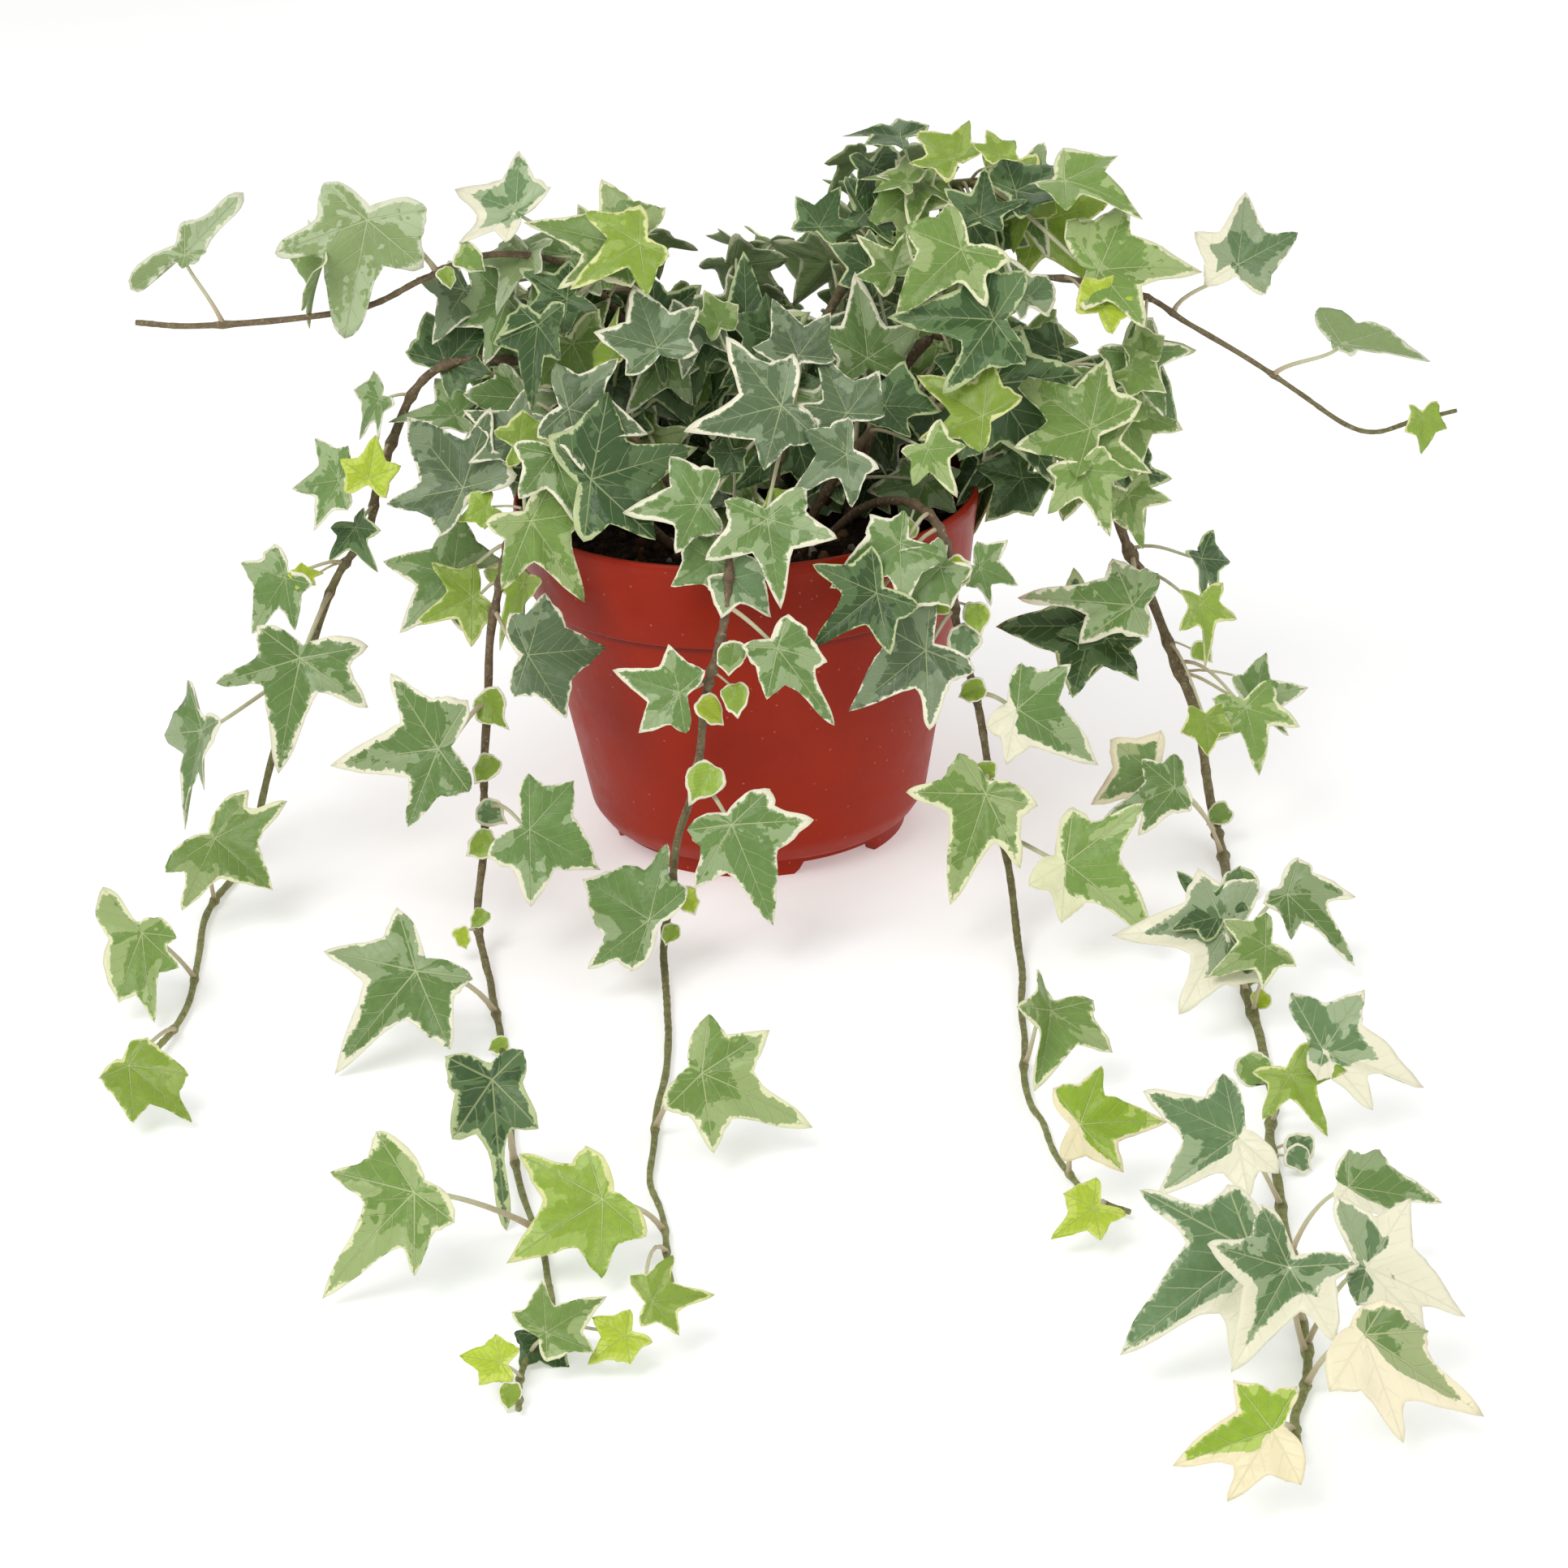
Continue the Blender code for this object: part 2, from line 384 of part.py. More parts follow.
def boolean(thing, other, operation):
    outward(other)
    cut = thing.modifiers.new("cut", "BOOLEAN")
    cut.operation = operation
    cut.solver = "EXACT"
    cut.object = other
    depsgraph = bpy.context.evaluated_depsgraph_get()
    mesh = bpy.data.meshes.new_from_object(thing.evaluated_get(depsgraph))
    thing.modifiers.remove(cut)
    old = thing.data
    thing.data = mesh
    bpy.data.meshes.remove(old)
    bpy.data.objects.remove(other, do_unlink=True)


def paint(thing, colour, rough):
    material = bpy.data.materials.new(thing.name)
    material.use_nodes = True
    shader = material.node_tree.nodes["Principled BSDF"]
    shader.inputs["Base Color"].default_value = (*colour, 1.0)
    shader.inputs["Roughness"].default_value = rough
    thing.data.materials.clear()
    thing.data.materials.append(material)


# ---- pot and soil ------------------------------------------------------------------------------------
foot = [(0.0, 0.0), (PAD_RADIUS, 0.0), (PAD_RADIUS, FOOT_HEIGHT), (FOOT_INNER, FOOT_HEIGHT),
        (FOOT_INNER, 0.0), (FOOT_OUTER, 0.0), (FOOT_OUTER, FOOT_TOP_Z)]
pot = make_object("pot", revolve(foot + POT_OUTER[1:] + POT_INNER + [(0.0, FLOOR_TOP_Z)], POT_SIDES))
outward(pot)
for number, centre in enumerate(NOTCH_CENTRES):
    block = prism(centre, NOTCH_WIDTH, FOOT_INNER - NOTCH_INWARD, FOOT_OUTER + NOTCH_OUTWARD, -NOTCH_BELOW,
                  NOTCH_HEIGHT)
    boolean(pot, make_object("notch_%d" % number, block), "DIFFERENCE")
outward(pot)
for polygon in pot.data.polygons:
    polygon.use_smooth = True
paint(pot, (0.30, 0.035, 0.02), 0.45)

soil_section = [(0.0, SOIL_BOTTOM_Z)] + SOIL_PROFILE + SOIL_TOP + [(0.0, SOIL_CENTRE_Z)]
soil = make_object("soil", revolve(soil_section, POT_SIDES))
outward(soil)
paint(soil, (0.012, 0.008, 0.006), 0.95)

# ---- stems and leaves --------------------------------------------------------------------------------
stem_paths, stem_shapes, stem_parts, solids = {}, {}, {}, []


def tree(shape):
    return BVHTree.FromPolygons([tuple(p) for p in shape[0]], shape[1])


def clear_of(shape, own):
    """True when the shape touches nothing that belongs to another node."""
    mine = tree(shape)
    return not any(owner != own and mine.overlap(other) for owner, other in solids)


for thing in (pot, soil):
    corners = [v.co.copy() for v in thing.data.vertices]
    faces = [tuple(p.vertices) for p in thing.data.polygons]
    solids.append((thing.name, tree((corners, faces))))

for name, (root, end, points) in STEMS.items():
    path = smooth_path(points, 1 if len(points) > FEW_STEM_POINTS else 2)
    shape = tube(path, lambda t, a=root, b=end: (a + (b - a) * t) * MM, STEM_SIDES)
    stem_paths[name] = [a.lerp(b, k / STEM_SUBSTEPS) for a, b in zip(path, path[1:])
                        for k in range(STEM_SUBSTEPS)] + [path[-1]]
    stem_shapes[name] = shape
    stem_parts[name] = []
    solids.append((name, tree(shape)))


def leaf_rows():
    for row in LARGE_LEAVES:
        yield row
    for row in JOINED_LEAVES:
        yield (None,) + row
    for stem, count, cx, cy, cz, reach, first, step in FAR_SIDE:
        for i in range(count):
            turn = first + step * (i * 3 % count) * 0.5
            a = math.radians(turn)
            ring = reach * (0.55 + 0.45 * math.sin(1.7 * i + 0.4))
            x, y = cx + ring * math.sin(a) * 1.1, cy - ring * math.cos(a)
            z = cz + 24 * math.sin(2.3 * i + 1.1)
            yield (None, stem, x, y, z, 22 + 5 * math.sin(1.3 * i), turn, 32 + 14 * math.cos(1.9 * i),
                   40 * math.sin(2.9 * i))


BENDS = [Vector((0, 0, 0)), Vector((0.25, 0, 0)), Vector((-0.25, 0, 0)), Vector((0, 0.25, 0)),
         Vector((0, -0.25, 0)), Vector((0, 0, 0.3)), Vector((0.3, 0.3, 0.2)), Vector((-0.3, 0.3, 0.2)),
         Vector((0.3, -0.3, 0.2)), Vector((-0.3, -0.3, 0.2))]
NUDGES = [(0, 0), (2, 0), (-2, 0), (4, 0), (-4, 0), (3, 12), (-3, 12), (3, -12), (-3, -12), (6, 0), (-6, 0),
          (8, 20), (-8, -20), (10, 0)]

SCALES = (1.0, 0.88, 0.76)
SETBACKS = (0.5, 0.2, 0.9, 0.0, 1.4)
FIRST_STALK_STEP, LAST_STALK_STEP = 6, 3

placed = []
for name, stem, x, y, z, length, turn, lift, spin in leaf_rows():
    own = name or stem
    outline = blade_outline(name)
    found = None
    for scale in SCALES:
        for push, swing in NUDGES:
            axes = leaf_axes(turn, lift, spin + swing)
            junction = Vector((x, y, z)) * MM + axes[0] * push * MM
            test = blade(outline, junction, length * scale * MM, axes, 1.0)
            if min(p.z for p in test[0]) > FLOOR_CLEARANCE * MM and clear_of(test, own):
                found = (junction, length * scale * MM, axes)
                break
        if found:
            break
    if not found:
        print("leaf left out:", name, stem, round(x), round(y), round(z))
        continue
    shape = blade(outline, *found)
    solids.append((own, tree(shape)))
    placed.append((name, stem, found, shape))

for name, stem, (junction, length, axes), shape in placed:
    path = stem_paths[stem]
    nearest = min(range(len(path)), key=lambda i: (path[i] - junction).length)
    gap = (path[nearest] - junction).length
    done = False
    for back in SETBACKS:
        i = nearest
        while i > FIRST_STALK_STEP and (path[i] - path[nearest]).length < gap * back:
            i -= 1
        i = min(i, len(path) - LAST_STALK_STEP)
        for bend in BENDS:
            test = stalk(path[i], junction, length, axes, name is None, bend, 1.0)
            if min(p.z for p in test[0]) > FLOOR_CLEARANCE * MM and clear_of(test, stem):
                done = True
                break
        if done:
            break
    if done:
        thin = stalk(path[i], junction, length, axes, name is None, bend)
        stem_parts[stem].append(thin)
        solids.append((stem, tree(thin)))
    else:
        print("stalk left out:", name, stem)
    if name:
        leaf = make_object(name, shape)
        outward(leaf)
        paint(leaf, (0.09, 0.17, 0.07), 0.5)
    elif done:
        stem_parts[stem].append(shape)

for name in STEMS:
    body = make_object(name, stem_shapes[name])
    outward(body)
    for number, part in enumerate(stem_parts[name]):
        boolean(body, make_object("%s_part_%d" % (name, number), part), "UNION")
    outward(body)
    paint(body, (0.16, 0.11, 0.05), 0.6)
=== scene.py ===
"""Potted ivy with trailing variegated stems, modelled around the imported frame.

Lengths in the tables are millimetres, and meshes are metres. Every shape is a grid or a profile worked out
with numpy.
"""
import math

import bpy
import numpy as np
from mathutils import Matrix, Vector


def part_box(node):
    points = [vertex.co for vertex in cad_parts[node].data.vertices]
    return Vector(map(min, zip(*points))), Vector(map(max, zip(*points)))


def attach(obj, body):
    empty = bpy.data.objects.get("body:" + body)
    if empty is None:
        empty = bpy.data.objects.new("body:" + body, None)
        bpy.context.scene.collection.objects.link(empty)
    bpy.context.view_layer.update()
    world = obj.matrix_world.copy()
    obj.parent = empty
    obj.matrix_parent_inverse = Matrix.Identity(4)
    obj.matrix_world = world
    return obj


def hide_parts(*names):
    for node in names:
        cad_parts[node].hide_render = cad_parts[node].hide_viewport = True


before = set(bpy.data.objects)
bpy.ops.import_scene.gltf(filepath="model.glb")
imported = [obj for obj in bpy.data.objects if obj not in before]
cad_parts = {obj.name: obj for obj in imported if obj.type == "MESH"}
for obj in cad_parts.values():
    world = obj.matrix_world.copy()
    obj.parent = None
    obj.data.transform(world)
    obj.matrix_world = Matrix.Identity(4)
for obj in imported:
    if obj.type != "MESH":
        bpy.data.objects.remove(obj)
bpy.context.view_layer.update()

MM = 0.001
TURN = 2.0 * math.pi

# stems: name -> (radius at root, radius at tip, points)
STEMS = {
    "runner_1": (1.7, 1.1, [
        (-20, 6, 104), (-38, 10, 136), (-62, 11, 155), (-88, 9, 160), (-104, 5, 152), (-116, 2, 128),
        (-122, 0, 108), (-133, 0, 93), (-144, -2, 68), (-161, -5, 28), (-167, -12, 8), (-171, -28, 2.4),
        (-176, -49, 2.2), (-178, -75, 2.2), (-176, -109, 2.2), (-178, -141, 2.4), (-182, -160, 4),
    ]),
    "runner_2": (1.6, 0.9, [
        (-24, -20, 104), (-40, -30, 124), (-58, -37, 128), (-72, -43, 122), (-80, -49, 96), (-84, -56, 70),
        (-86, -66, 44), (-87, -78, 29), (-89, -94, 11), (-87, -110, 4), (-84, -125, 2.2), (-80, -160, 2.2),
        (-76, -184, 2.2), (-73, -236, 2.2), (-67, -267, 2.2), (-62, -296, 2.2), (-60, -318, 2.4),
        (-66, -343, 2.2), (-67, -364, 2.6),
    ]),
    "runner_3": (1.6, 0.9, [
        (-2, -28, 104), (-4, -50, 124), (-5, -70, 128), (-6, -84, 118), (-10, -89, 98), (-15, -92, 80),
        (-18, -95, 64), (-21, -99, 51), (-26, -104, 37), (-31, -114, 12), (-31, -126, 4), (-31, -146, 2.2),
        (-30, -168, 2.2), (-33, -208, 2.2), (-35, -246, 2.2), (-32, -268, 2.2), (-29, -306, 3),
    ]),
    "runner_4": (1.6, 0.9, [
        (22, -24, 104), (38, -40, 122), (52, -56, 127), (60, -68, 120), (62, -72, 98), (67, -77, 76),
        (70, -83, 56), (75, -95, 24), (77, -106, 9), (77, -120, 3), (76, -140, 2.2), (74, -170, 2.2),
        (72, -212, 2.2), (75, -228, 2.2), (78, -251, 2.2), (84, -271, 2.4), (94, -281, 3),
    ]),
    "runner_5": (2.1, 1.3, [
        (32, -4, 104), (42, -4, 138), (60, -4, 164), (80, -6, 164), (99, -8, 150), (112, -9, 125),
        (121, -9, 97), (130, -10, 73), (142, -16, 41), (146, -26, 18), (147, -42, 5), (147, -72, 2.6),
        (143, -120, 2.6), (142, -166, 2.6), (141, -211, 2.6), (136, -250, 2.6), (134, -290, 2.4),
        (131, -345, 2.4), (128, -370, 2.4), (123, -385, 2.4), (121, -402, 3),
    ]),
    "runner_6": (1.5, 1.2, [
        (-14, 16, 104), (-28, 18, 150), (-48, 12, 185), (-74, 3, 196), (-98, 0, 190), (-116, 0, 182),
        (-139, 0, 179), (-171, 0, 178), (-190, 0, 180),
    ]),
    "runner_7": (1.5, 0.9, [
        (26, 14, 104), (50, 16, 150), (88, 8, 178), (125, 3, 174), (143, 0, 164), (165, 0, 149),
        (179, 0, 139), (193, 0, 128), (203, 0, 125), (215, 0, 128), (229, 0, 131),
    ]),
    "shoot_1": (1.5, 1.1, [
        (-12, 28, 104), (-24, 30, 150), (-34, 20, 182), (-44, 10, 190),
    ]),
    "shoot_2": (1.7, 1.1, [
        (10, 22, 104), (26, 34, 155), (52, 36, 195), (76, 26, 206), (94, 20, 202),
    ]),
    "shoot_3": (1.5, 1.0, [
        (6, -14, 104), (12, -24, 136), (18, -34, 152), (24, -48, 148),
    ]),
    "shoot_4": (1.5, 1.0, [
        (-14, -8, 104), (-34, -14, 138), (-56, -20, 146), (-74, -24, 138), (-84, -28, 124),
    ]),
    "shoot_5": (1.5, 1.0, [
        (18, -8, 104), (40, -16, 138), (64, -18, 146), (88, -20, 140), (102, -24, 126),
    ]),
    "shoot_6": (1.5, 1.0, [
        (-26, 36, 104), (-44, 52, 142), (-62, 68, 148), (-76, 82, 128),
    ]),
    "shoot_7": (1.5, 1.0, [
        (28, 36, 104), (44, 54, 142), (60, 70, 150), (72, 84, 130),
    ]),
    "shoot_8": (1.5, 1.0, [
        (2, 42, 104), (0, 64, 142), (-4, 84, 146), (-6, 98, 124),
    ]),
}

# leaves that are nodes, leaf_01 upwards: stem, rows of (x, y, z, length, turn, lift, spin, tone[, side that is
# cream]). (x, y, z) is where the stalk meets the blade, and length runs from there to the middle lobe's tip.
# turn and lift aim the upper side (0, 0 looks to the front), spin swings the tip from straight down.
LARGE_LEAVES = [
    ("runner_1", [
        (-144, -30, 76, 37, 0, 30, -14, "m"), (-175, -35, 55, 34, -65, 20, -3, "m"),
        (-172, -63, 28, 25, 0, 45, 46, "g"), (-190, -120, 24, 29, -20, 50, 22, "g"),
        (-184, -194, 16, 25, 0, 55, 47, "l"),
    ]),
    ("runner_2", [
        (-94, -20, 99, 25, -10, 30, -100, "m"), (-71, -35, 99, 25, -60, 25, -17, "l"),
        (-70, -72, 89, 25, 10, 25, 90, "b"), (-98, -80, 63, 35, -5, 30, -84, "m"),
        (-71, -97, 42, 25, 5, 35, 56, "m"), (-103, -159, 26, 38, -5, 45, -38, "m"),
        (-76, -245, 30, 39, 0, 45, 3, "d"), (-95, -297, 26, 35, -5, 45, -43, "g"),
    ]),
    ("runner_3", [
        (7, -94, 96, 30, 5, 20, 33, "m"), (-9, -112, 47, 33, 5, 30, 18, "m"),
        (-35, -124, 22, 26, -5, 40, -124, "m"), (-20, -231, 24, 34, 5, 45, 61, "g"),
        (-46, -291, 20, 30, -5, 50, -57, "l"),
    ]),
    ("runner_4", [
        (46, -77, 122, 25, 0, 30, -61, "m"), (38, -84, 109, 25, 0, 30, -54, "d"),
        (52, -87, 91, 29, 5, 25, -56, "b"), (80, -82, 68, 31, 5, 30, 52, "m", -120),
        (69, -99, 47, 35, 0, 35, -21, "g"), (92, -115, 30, 36, 5, 45, 45, "g", -115),
        (82, -204, 26, 25, 50, 35, -46, "g"),
    ]),
    ("runner_5", [
        (122, -27, 79, 37, 0, 35, -99, "m"), (110, -15, 68, 31, 0, 40, -94, "d"),
        (131, -70, 34, 25, 0, 40, -70, "m"), (133, -168, 26, 33, -5, 40, -91, "e", 60),
        (156, -137, 26, 29, 10, 45, 36, "m"), (151, -238, 26, 30, 10, 45, 64, "e", -30),
        (121, -292, 30, 26, -5, 45, -55, "h", 90), (117, -355, 32, 41, -5, 45, -53, "h", 95),
        (125, -372, 36, 29, 0, 40, -33, "e", 15), (146, -317, 28, 25, 5, 45, 77, "m", -100),
        (142, -368, 32, 27, 10, 45, 60, "h", 10), (139, -386, 26, 34, 5, 45, 50, "c", -95),
        (113, -417, 20, 25, 0, 45, -74, "k", 90),
    ]),
    ("runner_6", [
        (-114, 0, 210, 38, 0, 15, -15, "u"), (-134, -5, 197, 26, -70, 20, -21, "g"),
    ]),
    ("runner_7", [
        (193, 0, 156, 28, 0, 70, 77, "u"),
    ]),
]
# leaves that share their stem's node, in the same form; a row may end in an outline of its own
JOINED_LEAVES = [
    ("runner_1", [
        (-94, 10, 159, 24, -10, 30, 139, "d"), (-115, 0, 151, 17, -50, 25, -31, "m"),
        (-129, -10, 128, 22, -35, 25, -76, "m"), (-149, -10, 96, 23, -30, 25, -30, "m"),
        (-125, -10, 112, 16, -40, 20, 37, "d"),
    ]),
    ("runner_2", [
        (-88, -30, 94, 21, 0, 30, -68, "l"),
    ]),
    ("runner_3", [
        (-23, -95, 84, 22, -10, 20, -107, "m"), (-33, -338, 16, 16, 0, 50, 96, "l"),
    ]),
    ("runner_4", [
        (71, -60, 107, 16, 30, 25, 59, "m"), (82, -266, 22, 24, 0, 45, 93, "k", -150),
    ]),
    ("runner_5", [
        (114, -20, 66, 22, 5, 30, -39, "d"), (145, -15, 90, 21, 60, 25, 5, "d"),
        (143, -30, 80, 20, 45, 25, -10, "l"), (159, -40, 50, 20, 10, 35, 99, "m"),
        (155, -50, 52, 22, 20, 30, 2, "g"), (132, -165, 34, 19, 0, 40, -145, "d"),
        (144, -178, 30, 19, 0, 45, -65, "g"), (142, -243, 22, 20, 5, 50, 23, "l"),
    ]),
    ("runner_6", [
        (-172, 0, 201, 27, 0, 20, 135, "u", None, "side_on"),
    ]),
    ("runner_7", [
        (159, 5, 181, 25, 0, 30, 170, "e", 90, "small"),
    ]),
    ("runner_2", [
        (-60, -344, 12, 18, 0, 50, 122, "g"),
    ]),
    ("shoot_1", [
        (-68, 5, 209, 24, -20, 50, -111, "e", 60), (-35, -15, 202, 29, 0, 45, -111, "g"),
        (-29, -25, 205, 23, 0, 40, -60, "l"), (-25, -40, 176, 22, 0, 40, -164, "b"),
        (-39, -30, 171, 16, -60, 20, -145, "l"), (2, 5, 162, 27, 10, 15, 174, "d"),
        (-53, -10, 184, 22, 0, 60, -66, "d"), (-62, -20, 179, 25, -50, 20, 5, "d"),
    ]),
    ("shoot_2", [
        (77, -5, 203, 16, 0, 35, 171, "d"), (89, 5, 208, 22, 0, 60, 123, "d"),
        (55, 10, 211, 16, 0, 75, -120, "g"), (54, 20, 223, 19, 0, 80, -120, "d"),
        (70, 10, 218, 17, 0, 50, -141, "l"), (104, 0, 212, 25, 0, 75, 58, "g"),
        (70, -20, 197, 26, 0, 40, -49, "g"), (49, -10, 188, 16, 0, 35, -143, "g"),
        (27, 10, 198, 15, 0, 40, 153, "d"), (113, -15, 187, 30, 0, 45, 94, "g"),
    ]),
    ("shoot_3", [
        (18, -45, 173, 19, 0, 35, -160, "b"), (12, -60, 162, 28, 0, 35, -79, "b"),
        (32, -58, 158, 21, 0, 40, -160, "b"), (31, -70, 149, 19, 0, 35, -58, "b"),
        (6, -80, 133, 25, 0, 30, 6, "m"), (-14, -72, 136, 22, 0, 35, -89, "m"),
    ]),
    ("shoot_4", [
        (-53, -50, 161, 23, 0, 35, 71, "b"), (-88, -35, 132, 30, -15, 35, -136, "b"),
        (-58, -60, 150, 22, 20, 25, 11, "m"), (-47, -62, 142, 32, 10, 30, 102, "d"),
        (-91, -5, 146, 20, 0, 70, -97, "m"), (-70, -30, 146, 19, 0, 40, -124, "b"),
        (-66, -66, 131, 27, 20, 25, 26, "g"),
    ]),
    ("shoot_5", [
        (79, -30, 177, 30, 0, 35, -97, "d"), (108, -35, 142, 29, 0, 40, -133, "g"),
        (105, -45, 132, 20, 0, 30, 19, "g"), (110, -35, 135, 17, 0, 40, 66, "g"),
        (79, -20, 153, 34, 10, 25, 28, "d"), (74, -45, 151, 23, 0, 40, -128, "l"),
        (56, -60, 146, 16, 20, 25, 25, "g"), (120, -30, 118, 16, 0, 25, 14, "g"),
        (40, -15, 162, 25, 20, 20, 176, "m"),
    ]),
]
# small leaves and buds: stem ("" for the nearest one), outline, rows in the same form
SMALL_LEAVES = [
    ("", "small", [
        (-119, -15, 130, 14, 0, 20, 169, "y"), (-144, -12, 96, 8, 0, 60, 117, "y"),
        (-62, -335, 6, 12, 0, 50, 35, "d"), (-71, -354, 10, 11, 0, 50, -104, "y"),
        (-40, -344, 10, 12, 0, 55, -57, "y"), (83, -294, 12, 14, 0, 55, -58, "y"),
        (141, -60, 53, 12, 0, 40, 0, "l"), (124, -62, 37, 22, 0, 40, -65, "c"),
        (217, -5, 131, 12, 30, 20, -8, "l"), (-6, -10, 174, 12, 30, 30, -176, "g"),
        (-69, -45, 149, 15, 0, 45, 109, "l"), (84, 5, 220, 11, 20, 50, -179, "l"),
        (113, -25, 178, 16, 0, 40, 145, "y"), (90, -20, 180, 16, 40, 30, 176, "h"),
        (42, 0, 187, 15, 0, 20, -123, "d"), (88, -15, 120, 18, 0, 30, -44, "d"),
        (123, -15, 154, 13, 0, 35, 55, "g"), (120, -10, 146, 18, 40, 20, -31, "g"),
        (127, -12, 159, 11, 0, 30, -176, "g"), (68, -20, 163, 14, 0, 40, 51, "d"),
        (44, -40, 154, 18, 0, 50, 87, "d"), (-81, 5, 151, 8, 0, 40, 66, "d"),
        (-81, -40, 127, 10, 0, 30, -69, "l"), (-5, -84, 116, 16, 0, 25, 42, "h"),
        (10, -70, 132, 11, 0, 30, 137, "l"), (-11, -78, 120, 15, 0, 30, -61, "m"),
        (-4, -55, 146, 10, 0, 30, -32, "d"), (58, -80, 115, 18, 10, 25, -52, "m"),
    ]),
    ("runner_2", "bud", [
        (-83, -60, 69, 8, -21, 24, 43, "l"), (-84, -67, 51, 6, -16, 40, -37, "l"),
        (-85, -74, 39, 6, 4, 20, 51, "h"), (-86, -81, 31, 6, -9, 30, -57, "l"),
        (-94, -102, 10, 4, -2, 26, 16, "y"), (-88, -96, 13, 4, 9, 38, -48, "l"),
        (-79, -167, 4, 4, -20, 31, -66, "l"), (-69, -360, 5, 4, 19, 32, -16, "l"),
    ]),
    ("runner_3", "bud", [
        (-6, -94, 96, 6, -4, 36, -12, "g"), (-6, -96, 83, 6, -17, 38, 12, "l"),
        (-15, -96, 79, 6, 22, 39, 35, "y"), (-16, -101, 58, 8, -10, 36, -31, "l"),
        (-24, -113, 24, 5, 9, 41, 21, "y"), (-29, -117, 15, 4, 21, 20, -30, "l"),
    ]),
    ("runner_4", "bud", [
        (49, -62, 122, 5, 23, 43, -60, "l"), (64, -74, 112, 6, -19, 27, -29, "y"),
        (58, -75, 102, 5, 19, 36, -64, "l"), (69, -76, 98, 6, -13, 31, 11, "l"),
        (65, -78, 91, 7, 13, 31, -44, "h"), (68, -81, 75, 5, -13, 37, -66, "l"),
        (70, -89, 52, 4, -7, 26, 2, "l"),
    ]),
    ("runner_5", "bud", [
        (149, -39, 11, 5, 5, 36, -58, "g"), (149, -81, 5, 8, 21, 43, 2, "m"),
        (146, -147, 6, 4, 5, 35, -41, "l"), (145, -164, 6, 4, -11, 32, -36, "y"),
        (137, -203, 4, 7, -11, 38, 33, "g"), (143, -254, 6, 6, -15, 29, 21, "h"),
        (141, -259, 5, 5, 17, 36, 46, "h"), (164, -21, 47, 7, 9, 25, -70, "l"),
        (144, -17, 59, 5, 20, 30, 44, "l"),
    ]),
    ("runner_6", "bud", [
        (-122, -3, 186, 4, 12, 28, 63, "l"), (-84, -2, 197, 6, -6, 22, 52, "g"),
        (-91, -4, 192, 4, 17, 36, 13, "l"),
    ]),
]
